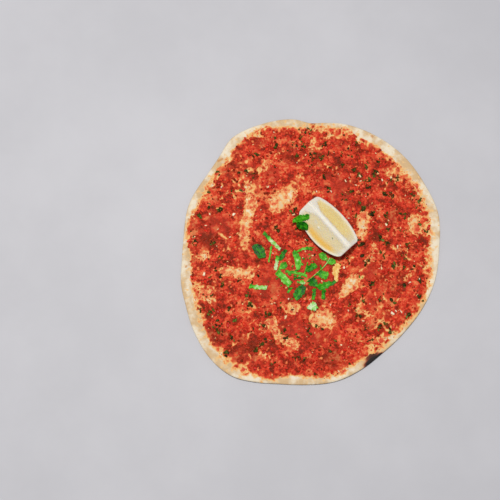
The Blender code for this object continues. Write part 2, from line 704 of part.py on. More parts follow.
def build_stem(held_by, material):
    """A thin round stalk with six sides that lies across the leaves."""
    sides, stations = 6, 13
    points = [spine_point(STEM_SPINE, k / (stations - 1))[0] for k in range(stations)]
    dense = [spine_point(STEM_SPINE, k / 60)[0] for k in range(61)]
    spots = []
    for spot in dense:
        across = Vector((0.8, 0.6)) * STEM_RADIUS
        spots += [spot, spot + across, spot - across]
    held = [(s, max(h for h in (height_over(t, s) for t in held_by) if h is not None)) for s in spots]
    vertices = []
    for k, point in enumerate(points):
        _, way = spine_point(STEM_SPINE, k / (stations - 1))
        height = draped_height(point, held, 0.25) + CLEARANCE + 1.35 * STEM_RADIUS
        across = Vector((-way.y, way.x))
        radius = STEM_RADIUS * (1.0 - 0.35 * k / (stations - 1))
        for corner in range(sides):
            angle = 2 * math.pi * corner / sides
            plan = point + across * radius * math.cos(angle)
            vertices.append((plan.x, plan.y, height + radius * math.sin(angle)))
    faces = [tuple(reversed(range(sides))), tuple(range(len(vertices) - sides, len(vertices)))]
    for station in range(stations - 1):
        for k in range(sides):
            a, b = station * sides + k, station * sides + (k + 1) % sides
            faces.append((a, b, b + sides, a + sides))
    stem = make_object("parsley_stem", vertices, faces, material)
    outward(stem)
    return stem


def lemon_footprint():
    """Circles that cover what the lemon's rind hides, as (middle, reach)."""
    turn = math.radians(LEMON_TURN)
    way = Vector((math.cos(turn), math.sin(turn)))
    return [(Vector(LEMON_MIDDLE) + way * along, 14.0) for along in (-24, -12, 0, 12, 24)]


def leaf_footprints():
    """Circles along each leaf piece, as (middle, reach)."""
    found = []
    for kind, spine, width, _ in PARSLEY:
        found += [(spine_point(spine, k / 4)[0], 0.55 * width) for k in range(5)]
    found += [(spine_point(STEM_SPINE, k / 8)[0], 1.2) for k in range(9)]
    return found


def main():
    for thing in list(bpy.data.objects):
        bpy.data.objects.remove(thing)
    materials = {name: make_material(name) for name in COLOURS}

    build_flatbread(materials["flatbread"])
    mince = build_mince_core(materials["meat_topping"])
    mince_tree = tree_of(mince)

    turn = math.radians(LEMON_TURN)
    bed = []
    for along in range(-30, 31, 2):
        for across in range(-16, 17, 2):
            x = LEMON_MIDDLE[0] + along * math.cos(turn) - across * math.sin(turn)
            y = LEMON_MIDDLE[1] + along * math.sin(turn) + across * math.cos(turn)
            radius = LEMON_RADIUS * math.sqrt(1 - (along / LEMON_OVAL) ** 2)
            rise = LEMON_RADIUS - math.sqrt(radius**2 - across**2)
            bed.append(height_over(mince_tree, Vector((x, y))) - rise)
    lemon = build_lemon(materials["lemon_wedge"], max(bed) + CLEARANCE)

    held_by = [mince_tree, tree_of(lemon)]
    for number, piece in enumerate(PARSLEY + LEMON_PARSLEY):
        leaf = build_leaf(number, piece, held_by, materials["parsley"])
        held_by.append(tree_of(leaf))
    build_stem(held_by, materials["parsley_stem"])
    fuse_lumps(mince, lemon_footprint() + leaf_footprints(), materials["meat_topping"])


main()
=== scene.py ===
# %% [markdown]
# # A lahmacun with lemon and parsley
#
# A lahmacun is a sheet of dough rolled to about three millimetres, spread thinly with raw spiced mince
# and baked in a few minutes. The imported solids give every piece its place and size, but they are coarse.
# This script measures them and lays finer meshes over them, so that each piece has the relief and the
# finish of the real food.

import math

import bmesh
import bpy
import numpy as np
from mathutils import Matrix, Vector
from mathutils.bvhtree import BVHTree


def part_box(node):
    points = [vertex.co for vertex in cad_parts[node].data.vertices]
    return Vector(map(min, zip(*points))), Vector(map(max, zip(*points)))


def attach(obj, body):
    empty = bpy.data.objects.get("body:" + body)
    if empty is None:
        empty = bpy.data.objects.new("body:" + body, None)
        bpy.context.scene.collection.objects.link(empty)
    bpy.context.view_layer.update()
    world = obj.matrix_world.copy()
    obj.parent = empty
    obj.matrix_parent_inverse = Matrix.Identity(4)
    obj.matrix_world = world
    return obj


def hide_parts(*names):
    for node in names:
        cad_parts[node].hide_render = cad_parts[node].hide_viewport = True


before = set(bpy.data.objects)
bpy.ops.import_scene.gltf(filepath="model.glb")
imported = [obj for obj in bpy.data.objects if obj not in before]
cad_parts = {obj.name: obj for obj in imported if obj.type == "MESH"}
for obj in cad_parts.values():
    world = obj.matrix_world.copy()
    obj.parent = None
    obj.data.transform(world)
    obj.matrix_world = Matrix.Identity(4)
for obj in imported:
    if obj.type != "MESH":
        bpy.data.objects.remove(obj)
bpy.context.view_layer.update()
MM = 0.001

# %% [markdown]
# ## Camera
#
# The picture is taken from nearly straight above. A camera could be aimed by eye, but here its tilt,
# distance and lens were worked out from the outline of the round bread, so a place on the food lands
# where it does in the photo.

# %% Camera
VIEW_TILT = math.radians(8.5)
VIEW_DISTANCE = 810.9 * MM
VIEW_LENS = 57.24  # on a sensor 36 mm wide
VIEW_AIM = Vector((-62.3, -1.7, 0.0)) * MM

camera = bpy.data.objects.new("camera", bpy.data.cameras.new("camera"))
bpy.context.scene.collection.objects.link(camera)
camera.data.lens = VIEW_LENS
camera.location = VIEW_AIM + Vector((0, -math.sin(VIEW_TILT), math.cos(VIEW_TILT))) * VIEW_DISTANCE
camera.rotation_euler = (VIEW_TILT, 0, 0)
bpy.context.scene.camera = camera
print("the camera stands", round(camera.location.z, 3), "m over the floor")

# %% [markdown]
# ## Finishes from nodes
#
# Every finish below is a small graph of shader nodes. Writing each node by hand takes many lines, so
# these helpers make one and wire it in a single call. Colours are written the way a maker reads them off
# a colour card, in screen values from 0 to 255, and are turned into the linear values that the shader
# works with.

# %% Helpers for materials
def tint(red, green, blue):
    """A linear colour for a shader, from screen values."""
    shares = [value / 255 for value in (red, green, blue)]
    return (*[s / 12.92 if s <= 0.04045 else ((s + 0.055) / 1.055) ** 2.4 for s in shares], 1.0)


def add_node(tree, kind, inputs=(), **settings):
    """A node with its settings made and its inputs filled or wired."""
    made = tree.nodes.new(kind)
    for name, value in settings.items():
        setattr(made, name, value)
    for name, value in dict(inputs).items():
        if isinstance(value, bpy.types.NodeSocket):
            tree.links.new(value, made.inputs[name])
        else:
            made.inputs[name].default_value = value
    return made


def grain(tree, size, detail=3.0, rough=0.55, seed=0.0):
    """Noise whose blotches are the given size in millimetres."""
    place = add_node(tree, "ShaderNodeTexCoord").outputs["Object"]
    moved = add_node(tree, "ShaderNodeMapping", {"Vector": place, "Location": (seed, -seed, seed)})
    inputs = {"Vector": moved.outputs["Vector"], "Scale": 1 / (size * MM)}
    inputs |= {"Detail": detail, "Roughness": rough}
    return add_node(tree, "ShaderNodeTexNoise", inputs).outputs["Fac"]


def mark(tree, name):
    """What was written on the mesh's points under that name."""
    return add_node(tree, "ShaderNodeAttribute", attribute_name=name).outputs["Fac"]


def maths(tree, operation, *values, clamp=False):
    """One sum on numbers or on the outputs of other nodes."""
    made = add_node(tree, "ShaderNodeMath", dict(enumerate(values)), operation=operation, use_clamp=clamp)
    return made.outputs["Value"]


def plus(tree, first, second, share=1.0):
    """The first value and a share of the second."""
    added = second if share == 1.0 else maths(tree, "MULTIPLY", second, share)
    return maths(tree, "ADD", first, added)


def swinging(tree, noise, reach):
    """Noise that runs from 0 to 1, moved to swing around zero."""
    return maths(tree, "MULTIPLY", maths(tree, "SUBTRACT", noise, 0.5), reach)


def between(tree, value, low, high):
    """0 below low and 1 above high, with a smooth rise."""
    inputs = {"Value": value, "From Min": low, "From Max": high}
    return add_node(tree, "ShaderNodeMapRange", inputs, interpolation_type="SMOOTHSTEP").outputs["Result"]


# %% Helpers for colour and relief
def blend(tree, share, first, second):
    """The first colour where the share is 0, and the second where it is 1."""
    made = add_node(tree, "ShaderNodeMix", {"Factor": share}, data_type="RGBA")
    for socket, value in ((made.inputs[6], first), (made.inputs[7], second)):
        if isinstance(value, bpy.types.NodeSocket):
            tree.links.new(value, socket)
        else:
            socket.default_value = value
    return made.outputs[2]


def colour_run(tree, value, stops):
    """A colour picked along a row of (place, colour) stops."""
    made = add_node(tree, "ShaderNodeValToRGB", {"Fac": value})
    elements = made.color_ramp.elements
    while len(elements) < len(stops):
        elements.new(0.5)
    for element, (place, colour) in zip(elements, stops):
        element.position = place
        element.color = colour
    return made.outputs["Color"]


def new_finish(name, **sockets):
    """A Principled material with uniform values on its own sockets."""
    material = bpy.data.materials.new(name)
    material.use_nodes = True
    shader = material.node_tree.nodes["Principled BSDF"]
    for socket, value in sockets.items():
        shader.inputs[socket.replace("_", " ")].default_value = value
    return material, material.node_tree, shader


def roughened(tree, shader, value, at_zero, at_one):
    """A roughness that follows a value from 0 to 1."""
    inputs = {"Value": value, "To Min": at_zero, "To Max": at_one}
    tree.links.new(add_node(tree, "ShaderNodeMapRange", inputs).outputs["Result"], shader.inputs["Roughness"])


def bumped(tree, shader, height, depth, strength=1.0):
    """Fine relief, its depth in millimetres."""
    inputs = {"Height": height, "Distance": depth * MM, "Strength": strength}
    tree.links.new(add_node(tree, "ShaderNodeBump", inputs).outputs["Normal"], shader.inputs["Normal"])


# %% [markdown]
# ## Light and floor
#
# The photo's light is bright, and it comes from nearly overhead and a little from the upper left: the
# lemon has a thin dark shadow on its lower right. A far lamp of modest size gives that, and a pale sky
# fills the shadows. The floor is a plain pale surface with the faintest mottling. The Standard view keeps
# the reds as strong as in the food.

# %% Light and floor
SKY = 0.28
KEY_PLACE = Vector((-0.36, 0.34, 2.78))
KEY_SIZE = 0.26
KEY_POWER = 81.0
FLOOR_HALF = 3.0

bpy.context.scene.view_settings.view_transform = "Standard"
world = bpy.data.worlds.new("sky")
world.use_nodes = True
world.node_tree.nodes["Background"].inputs["Color"].default_value = (0.96, 0.98, 1.0, 1.0)
world.node_tree.nodes["Background"].inputs["Strength"].default_value = SKY
bpy.context.scene.world = world

lamp = bpy.data.objects.new("key_lamp", bpy.data.lights.new("key_lamp", "AREA"))
lamp.data.energy = KEY_POWER
lamp.data.size = KEY_SIZE
lamp.data.color = (1.0, 0.975, 0.94)
lamp.location = KEY_PLACE
lamp.rotation_euler = (-KEY_PLACE).to_track_quat("-Z", "Y").to_euler()
bpy.context.scene.collection.objects.link(lamp)

corners = [(-FLOOR_HALF, -FLOOR_HALF, 0), (FLOOR_HALF, -FLOOR_HALF, 0)]
corners += [(FLOOR_HALF, FLOOR_HALF, 0), (-FLOOR_HALF, FLOOR_HALF, 0)]
floor_mesh = bpy.data.meshes.new("floor")
floor_mesh.from_pydata(corners, [], [(0, 1, 2, 3)])
floor = bpy.data.objects.new("floor", floor_mesh)
bpy.context.scene.collection.objects.link(floor)
floor_finish, tree, shader = new_finish("floor", Roughness=0.6)
mottle = between(tree, grain(tree, 160, 5.0, 0.6), 0.3, 0.7)
tree.links.new(blend(tree, mottle, tint(171, 171, 177), tint(178, 178, 184)), shader.inputs["Base Color"])
floor_mesh.materials.append(floor_finish)
print("floor and lamp are in place")

# %% [markdown]
# ## Random hills
#
# Dough, mince and leaves are all uneven in the same way: bumps of about one size, with no pattern.
# Blender's noise textures can do this in a shader, but a mesh needs its heights as numbers. Gradient
# noise over a whole array of points at once is a few lines, and a seed makes it the same on every run.

# %% Random hills
HILL_CELLS = 128  # the hills repeat after this many cells


def hills(x, y, size, seed):
    """Smooth heights from about -1 to 1, with hills of the given size."""
    angles = np.random.default_rng(seed).uniform(0, 2 * np.pi, (HILL_CELLS, HILL_CELLS))
    u, v = np.asarray(x) / size, np.asarray(y) / size
    i, j = np.floor(u).astype(int), np.floor(v).astype(int)
    du, dv = u - i, v - j

    def slope(a, b):
        angle = angles[(i + a) % HILL_CELLS, (j + b) % HILL_CELLS]
        return np.cos(angle) * (du - a) + np.sin(angle) * (dv - b)

    ease_u, ease_v = (t**3 * (t * (6 * t - 15) + 10) for t in (du, dv))
    near = slope(0, 0) * (1 - ease_u) + slope(1, 0) * ease_u
    far = slope(0, 1) * (1 - ease_u) + slope(1, 1) * ease_u
    return 1.5 * (near * (1 - ease_v) + far * ease_v)


def ease(low, high, value):
    """0 at low and 1 at high, with a smooth rise."""
    share = np.clip((value - low) / (high - low), 0, 1)
    return share * share * (3 - 2 * share)


some_hills = hills(*np.meshgrid(np.arange(30), np.arange(30)), 3.7, 1)
print("hills run from", some_hills.min().round(2), "to", some_hills.max().round(2))

# %% [markdown]
# ## Measure the solids
#
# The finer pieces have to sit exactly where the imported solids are. Copying their sizes would work until
# one changes, so the solids are sounded instead: rays go straight down, or up, onto them over a grid, and
# give a map of heights. A map is smoothed a little to lose the facets, and any place on it can then be
# read off.

# %% Sound the solids
SOUNDING_STEP = 1.5
SOUNDING_REACH = 144.0
ticks = np.arange(-SOUNDING_REACH, SOUNDING_REACH + 0.1, SOUNDING_STEP)
bpy.context.view_layer.update()
depsgraph = bpy.context.evaluated_depsgraph_get()


def tree_of(name):
    return BVHTree.FromObject(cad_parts[name], depsgraph)


def soundings(names, from_above):
    """Heights in millimetres where rays meet these nodes, and nan where they miss."""
    start, way = (0.1, -1) if from_above else (-0.01, 1)
    best = max if from_above else min
    trees = [tree_of(name) for name in names]
    found = np.full((len(ticks), len(ticks)), np.nan)
    for i, x in enumerate(ticks):
        for j, y in enumerate(ticks):
            hits = [t.ray_cast(Vector((x * MM, y * MM, start)), Vector((0, 0, way)))[0] for t in trees]
            heights = [hit.z / MM for hit in hits if hit]
            if heights:
                found[i, j] = best(heights)
    return found


def smoothed(heights, reach):
    """A map whose heights are averaged over their neighbours, and run on past its edge."""
    known = ~np.isnan(heights)
    total, weight = np.where(known, heights, 0.0), known.astype(float)
    count = int(3 * reach / SOUNDING_STEP) + 1
    steps = np.arange(-count, count + 1)
    shares = np.exp(-0.5 * (steps * SOUNDING_STEP / reach) ** 2)

    def averaged(layer, axis):
        return sum(share * np.roll(layer, step, axis) for step, share in zip(steps, shares))

    for axis in (0, 1):
        total, weight = averaged(total, axis), averaged(weight, axis)
    return np.where(weight > 1e-9, total / np.maximum(weight, 1e-9), 0.0)


def read_map(heights, x, y):
    """Heights at places in millimetres, from the four nearest soundings."""
    u = np.clip((np.asarray(x) + SOUNDING_REACH) / SOUNDING_STEP, 0, len(ticks) - 1.001)
    v = np.clip((np.asarray(y) + SOUNDING_REACH) / SOUNDING_STEP, 0, len(ticks) - 1.001)
    i, j = u.astype(int), v.astype(int)
    du, dv = u - i, v - j
    near = heights[i, j] * (1 - du) + heights[i + 1, j] * du
    far = heights[i, j + 1] * (1 - du) + heights[i + 1, j + 1] * du
    return near * (1 - dv) + far * dv


leaf_nodes = sorted(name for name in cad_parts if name.startswith("parsley"))
bread_top_map = smoothed(soundings(["flatbread"], True), 1.8)
bread_under_map = smoothed(soundings(["flatbread"], False), 2.5)
mince_top = soundings(["meat_topping"], True)
cover = soundings([*leaf_nodes, "lemon_wedge"], False)
print("the bread's rim stands up to", round(float(np.nanmax(bread_top_map)), 1), "mm")

# %% [markdown]
# ## The edge of the bread
#
# The solid's rim is a polygon on even spokes. A trigonometric curve through the spokes' lengths gives the
# same outline at any angle, with no corners.

# %% The edge of the bread
points = np.array([v.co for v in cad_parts["flatbread"].data.vertices]) / MM
SOLID_SPOKES = 96
turned = np.arctan2(points[:, 1], points[:, 0]) / (2 * np.pi)
spoke = np.round(turned * SOLID_SPOKES).astype(int) % SOLID_SPOKES
spoke_lengths = np.zeros(SOLID_SPOKES)
np.maximum.at(spoke_lengths, spoke, np.hypot(points[:, 0], points[:, 1]))
outline_waves = np.fft.rfft(spoke_lengths) / SOLID_SPOKES


def edge_radius(angle):
    """Distance from the middle to the bread's edge, in millimetres."""
    orders = np.arange(1, len(outline_waves))
    turns = np.exp(1j * np.multiply.outer(angle, orders))
    return outline_waves[0].real + 2 * (turns @ outline_waves[1:]).real


print("the bread is", round(float(edge_radius(0.0) + edge_radius(np.pi)), 1), "mm across")

# %% [markdown]
# ## Where the mince is thin
#
# The spread isn't even: it is missing over blisters, thin in streaks where the hand dragged it, and it
# breaks up into crumbs everywhere. One function gives its thickness at any place, and the bread's stains,
# the mesh of the spread and the crumbs on it all ask that function, so they agree. Below zero there is no
# mince.

# %% Thickness of the spread
THIN_SPOTS = (  # from x, y to x, y, half width, in millimetres, and how much of the mince is gone
    (-34, 46, -25, 54, 10.5, 1.0),
    (-60, 52, -68, 14, 5.0, 1.0),
    (-89, -24, -62, -27, 5.0, 1.0),
    (-87, -5, -85, -3, 4.5, 0.8),
    (44, -31, 33, -44, 6.0, 1.0),
    (5, -73, 18, -73, 7.5, 1.0),
    (-41, -77, -33, -91, 3.8, 1.0),
    (-33, -91, -16, -99, 4.6, 1.0),
    (-20, -61, -17, -61, 5.0, 1.0),
    (54, 34, 50, 13, 5.5, 1.0),
    (106, 28, 104, 20, 8.0, 0.85),
    (-30, 103, -52, 80, 5.0, 0.85),
    (17, 86, 26, 84, 5.5, 0.75),
    (40, 74, 50, 69, 6.0, 0.75),
    (-112, -9, -107, -6, 4.5, 0.9),
    (-50, -108, -40, -112, 5.5, 0.85),
    (48, -60, 56, -65, 6.0, 0.7),
    (-108, -44, -101, -50, 7.0, 0.85),
    (80, 78, 90, 70, 5.0, 0.7),
    (82, 2, 92, -5, 8.0, 0.7),
    (66, 4, 60, -14, 5.0, 0.8),
    (-12, 76, -4, 66, 4.5, 0.7),
    (-95, 40, -88, 52, 5.0, 0.6),
    (96, -30, 104, -22, 5.0, 0.7),
    (-76, 74, -66, 66, 4.5, 0.65),
    (0, 108, 12, 104, 5.0, 0.6),
    (70, -92, 60, -98, 5.0, 0.6),
)
HEADROOM = 0.2  # air kept under a leaf or the lemon
NO_MINCE = -3.0


def spread_out(heights, pick):
    """A map with each height carried one sounding outwards."""
    for axis in (0, 1):
        for shift in (-1, 1):
            heights = pick(heights, np.roll(heights, shift, axis))
    return heights


covered = spread_out(spread_out(mince_top, np.fmax), np.fmax)
mince_thick = smoothed(mince_top, 1.2) - bread_top_map
spread_map = smoothed(np.where(np.isnan(covered), NO_MINCE, np.clip(mince_thick, 0.5, 2.3)), 1.0)
ceiling = spread_out(cover - bread_top_map - HEADROOM, np.fmin)
ceiling = np.where(np.isnan(ceiling), 9.0, ceiling)


def thin_share(x, y):
    """How much of the mince is gone at a place, from 0 to 1."""
    gone = np.zeros(np.shape(x))
    wander_x = 2.6 * hills(x, y, 8, 31) + 1.2 * hills(x, y, 3, 33)
    wander_y = 2.6 * hills(x, y, 8, 32) + 1.2 * hills(x, y, 3, 34)
    for x0, y0, x1, y1, half, share in THIN_SPOTS:
        run = np.array([x1 - x0, y1 - y0], float)
        along = ((x + wander_x - x0) * run[0] + (y + wander_y - y0) * run[1]) / (run @ run)
        along = np.clip(along, 0, 1)
        away = np.hypot(x + wander_x - x0 - along * run[0], y + wander_y - y0 - along * run[1])
        gone = np.maximum(gone, share * (1 - ease(0.2, 1.45, away / half)))
    return gone


def thickness(x, y):
    """Thickness of the mince in millimetres; below zero the bread is bare."""
    thick = read_map(spread_map, x, y) + 0.4 * hills(x, y, 7.5, 41) + 0.42 * hills(x, y, 3.4, 42)
    thick += 0.34 * hills(x, y, 1.9, 43)
    region = ease(-0.3, 0.5, hills(x, y, 46, 44) + 0.4 * hills(x, y, 20, 45))
    seams = 1 - np.clip(np.abs(hills(x, y, 13, 46)) * 4.0, 0, 1)
    thick -= region * (0.85 * seams + 0.36 + 0.55 * hills(x, y, 5.5, 48))
    thick -= thin_share(x, y) * (1.1 + 1.3 * hills(x, y, 4.2, 47) + 1.2 * hills(x, y, 2.0, 49))
    return np.minimum(thick, read_map(ceiling, x, y))


trial = np.meshgrid(np.arange(-80, 80, 2.0), np.arange(-80, 80, 2.0))
print("bare share of the middle:", round(float((thickness(*trial) < 0).mean()), 3))

# %% [markdown]
# ## The bread
#
# Lahmacun dough bakes pale: cream with a floury bloom, a few toasted blisters, orange oil stains where
# the mince touches it, a charred spot on the rim and a burst blister whose near-black dot is painted shade
# for its hole. It could be the solid with a bump map, but the rim is what the eye finds first from the side,
# so it is a real mesh: rings that run from the middle of the underside out round the soft edge and back to
# the middle of the top. Blisters and wrinkles are in the mesh, flour and pores in the bump.

# %% The bread's skin
def bread_skin(x, y):
    """Height of the bread's upper side, with its blisters and wrinkles."""
    swell = 0.55 * np.maximum(0, hills(x, y, 11, 51) - 0.22) + 0.3 * np.maximum(0, hills(x, y, 5.2, 52) - 0.2)
    return read_map(bread_top_map, x, y) + swell + 0.1 * hills(x, y, 2.6, 53) - 0.08


BURST_PLACE = (-19.7, -62.0)  # the burst blister, in millimetres
CHAR_AND_HOLE_SPOTS = (  # x, y, reach along the rim, reach across it, how dark
    (62.0, -113.2, 13.0, 4.6, 1.0),
    (59.6, -110.2, 9.0, 6.0, 0.56),
    (67.5, -108.6, 4.5, 3.0, 0.9),
    # the burst blister's near-black dot is painted shade for its hole, which the shallow dent does not make
    (*BURST_PLACE, 1.6, 1.5, 1.0),
    (3.5, 129.8, 3.2, 1.4, 0.35),
)


def char_and_hole_shade(x, y):
    """How burnt the bread is at a place, from 0 to 1, with painted shade in the burst blister's hole."""
    burn_and_shade = np.zeros(np.shape(x))
    for cx, cy, long, short, dark in CHAR_AND_HOLE_SPOTS:
        turn = math.atan2(cy, cx) + math.pi / 2
        dx, dy = x - cx + 0.7 * hills(x, y, 3, 54), y - cy + 0.7 * hills(x, y, 3, 55)
        along = (dx * math.cos(turn) + dy * math.sin(turn)) / long
        across = (dy * math.cos(turn) - dx * math.sin(turn)) / short
        burn_and_shade = np.maximum(burn_and_shade, dark * (1 - ease(0.3, 1.4, np.hypot(along, across))))
    return burn_and_shade


def put_marks(mesh, marks):
    """Writes one number on each point of a mesh, under each name."""
    for name, values in marks.items():
        layer = mesh.attributes.new(name, "FLOAT", "POINT")
        layer.data.foreach_set("value", np.asarray(values, np.float32))


def make_piece(name, points_mm, faces, material, marks=()):
    """A smooth-shaded mesh that rides with the food."""
    mesh = bpy.data.meshes.new(name)
    mesh.from_pydata((np.asarray(points_mm) * MM).tolist(), [], faces)
    mesh.polygons.foreach_set("use_smooth", [True] * len(mesh.polygons))
    put_marks(mesh, dict(marks))
    mesh.materials.append(material)
    piece = bpy.data.objects.new(name, mesh)
    bpy.context.scene.collection.objects.link(piece)
    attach(piece, "root")
    print(name, "has", sum(len(p.vertices) - 2 for p in mesh.polygons), "triangles")
    return piece


# %% The bread's finish
def bread_finish():
    material, tree, shader = new_finish("baked_dough", Roughness=0.74, Specular_IOR_Level=0.35)
    flour = between(tree, grain(tree, 15, 4.0, 0.55), 0.4, 0.6)
    cream = blend(tree, flour, tint(192, 162, 122), tint(215, 203, 181))
    speck = between(tree, grain(tree, 2.2, 4.0, 0.6, 3), 0.56, 0.72)
    cream = blend(tree, maths(tree, "MULTIPLY", speck, 0.4), cream, tint(190, 150, 100))
    toasted = between(tree, plus(tree, mark(tree, "toast"), grain(tree, 3.2, 4.0, 0.6, 5)), 0.85, 1.25)
    crust = blend(tree, maths(tree, "MULTIPLY", toasted, 0.8), cream, tint(181, 122, 66))
    oil = plus(tree, mark(tree, "stain"), swinging(tree, grain(tree, 4.0, 5.0, 0.62, 8), 2.1))
    stained = colour_run(tree, oil, [
        (0.1, tint(214, 186, 142)), (0.38, tint(217, 174, 114)), (0.56, tint(214, 142, 86)),
        (0.72, tint(208, 98, 56)), (0.92, tint(188, 58, 34)),
    ])
    crust = blend(tree, between(tree, oil, 0.05, 0.4), crust, stained)
    # Burnt spots go brown to black, and the burst blister's hole gets the same near-black as painted shade.
    char_and_shade = mark(tree, "char_and_shade")
    burn_and_shade = between(tree, plus(tree, char_and_shade, speck, 0.12), 0.1, 0.7)
    burn_and_shade_tints = [(0.1, tint(172, 90, 48)), (0.55, tint(104, 42, 22)), (0.97, tint(20, 11, 9))]
    scorch_and_shade = between(tree, char_and_shade, 0.04, 0.42)
    crust = blend(tree, scorch_and_shade, crust, colour_run(tree, burn_and_shade, burn_and_shade_tints))
    tree.links.new(crust, shader.inputs["Base Color"])
    pores = grain(tree, 0.5, 2.0)
    bumped(tree, shader, plus(tree, grain(tree, 1.6, 5.0, 0.6, 2), pores, 0.4), 0.35, 0.8)
    return material


# %% Build the bread
BREAD_SPOKES = 600
EDGE_ROUND = 1.7  # the edge is round over this distance
EDGE_INSETS = (0.0, 0.08, 0.25, 0.5, 0.85, 1.25, EDGE_ROUND)
LAST_INSET = 133
FLAT_FROM = 34  # the underside is flat further in than this
MEAN_RADIUS = 135.0
top_insets = np.concatenate([EDGE_INSETS, np.arange(2.4, 24, 0.85), np.arange(25, LAST_INSET, 1.7)])
under_insets = np.concatenate([EDGE_INSETS[1:], np.arange(2.6, 12, 1.2), np.arange(14, LAST_INSET, 4.0)])


def bread_ring(inset, upper):
    """Points of one ring round the bread, at a distance in from its edge."""
    angle = np.arange(BREAD_SPOKES) * 2 * np.pi / BREAD_SPOKES
    radius = edge_radius(angle) * (1 - inset / MEAN_RADIUS)
    held = edge_radius(angle) * (1 - max(inset, EDGE_ROUND) / MEAN_RADIUS)
    sample_x, sample_y = held * np.cos(angle), held * np.sin(angle)
    top = bread_skin(sample_x, sample_y)
    lumps = 0.05 * np.maximum(0, hills(sample_x, sample_y, 6, 56))
    under = read_map(bread_under_map, sample_x, sample_y) + lumps
    under = np.where(inset > FLAT_FROM, 0.0, np.maximum(under, 0.0))
    bulge = math.sqrt(1 - (1 - min(inset, EDGE_ROUND) / EDGE_ROUND) ** 2)
    middle, half = (top + under) / 2, (top - under) / 2
    height = middle + half * bulge * (1 if upper else -1)
    return np.column_stack([radius * np.cos(angle), radius * np.sin(angle), height])


rings = [bread_ring(inset, False) for inset in under_insets[::-1]]
rings += [bread_ring(inset, True) for inset in top_insets]
bread_points = np.vstack([*rings, [(0, 0, 0)], [(0, 0, float(bread_skin(np.zeros(1), np.zeros(1))[0]))]])
bread_faces = []
for ring in range(len(rings) - 1):
    for k in range(BREAD_SPOKES):
        a, b = ring * BREAD_SPOKES + k, ring * BREAD_SPOKES + (k + 1) % BREAD_SPOKES
        bread_faces.append((a, b, b + BREAD_SPOKES, a + BREAD_SPOKES))
last = (len(rings) - 1) * BREAD_SPOKES
under_middle, top_middle = len(bread_points) - 2, len(bread_points) - 1
for k in range(BREAD_SPOKES):
    bread_faces.append((under_middle, (k + 1) % BREAD_SPOKES, k))
    bread_faces.append((top_middle, last + k, last + (k + 1) % BREAD_SPOKES))

# %% Mark the bread's points
x, y = bread_points[:, 0], bread_points[:, 1]
is_top = np.arange(len(bread_points)) >= len(under_insets) * BREAD_SPOKES
is_top[under_middle] = False
mince_near = smoothed(np.where(spread_map > -0.3, 1.0, 0.0), 1.7)
from_edge = edge_radius(np.arctan2(y, x)) - np.hypot(x, y)
mince_near = np.maximum(0.75 * read_map(mince_near, x, y), 0.48 * ease(9, 16, from_edge))
wet_by_place = np.where(from_edge < 13, 1.3 * hills(x, y, 8, 58) - 0.08, 0.45 * hills(x, y, 8, 58) + 0.14)
blistered = 1.6 * np.maximum(0, hills(x, y, 11, 51) - 0.3) + np.maximum(0, hills(x, y, 5.2, 52) - 0.3)
bread_marks = {
    "stain": np.where(is_top, mince_near * np.clip(0.72 + wet_by_place, 0.0, 1.2), 0.0),
    "char_and_shade": np.where(is_top | (char_and_hole_shade(x, y) > 0.5), char_and_hole_shade(x, y), 0.0),
    "toast": np.where(is_top, 0.8 * blistered, 0.45 + 0.5 * hills(x, y, 16, 57)),
}
BURST_DEPTH, BURST_RADIUS = 1.2, 1.7
from_burst = np.hypot(x - BURST_PLACE[0], y - BURST_PLACE[1]) / BURST_RADIUS
bread_points[:, 2] -= np.where(is_top, BURST_DEPTH * (1 - ease(0.4, 1.0, from_burst)), 0.0)
bread = make_piece("bread", bread_points, bread_faces, bread_finish(), bread_marks)
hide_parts("flatbread")

# %% [markdown]
# ## The spread
#
# The mince itself is a moist paste of meat, pepper and tomato with grains of one to three millimetres. A
# smooth sheet with a bump map goes flat at a low angle, and a simulation of thousands of grains is slow.
# So the paste is a fine grid whose heights come from the thickness function, and the larger grains are
# laid on it afterwards. Cells with no mince are left out, and the grid's edge dips just below the bread's
# skin, so the sheet needs no underside.

# %% The spread's finish
CALM_SPOTS = (  # x, y, radius in millimetres where the paste is smooth, with few grains
    (-35.0, -34.0, 23.0), (8.0, -82.0, 17.0), (24.0, 60.0, 17.0), (-20.0, -80.0, 12.0),
    (59.0, -21.0, 12.0), (66.0, -52.0, 14.0), (108.0, -54.0, 8.0), (-92.0, 22.0, 14.0),
    (-40.0, 78.0, 10.0), (2.0, -20.0, 22.0),
)
BROWNED_SPOTS = (  # x, y, radius where the paste is browner, with most of the herbs
    (-80.0, 86.0, 13.0), (-70.0, -104.0, 17.0), (88.0, 84.0, 9.0), (111.0, 56.0, 9.0),
    (-98.0, -88.0, 11.0), (-104.0, 8.0, 11.0), (18.0, -112.0, 12.0), (-60.0, 62.0, 9.0),
)


def near_spots(spots, x, y):
    """1 inside the spots, falling to 0 outside, with a wandering border."""
    near = np.zeros(np.shape(x))
    for cx, cy, radius in spots:
        away = np.hypot(x - cx, y - cy) + 0.4 * radius * hills(x, y, 9, 59)
        near = np.maximum(near, 1 - ease(0.55 * radius, 1.25 * radius, away))
    return near


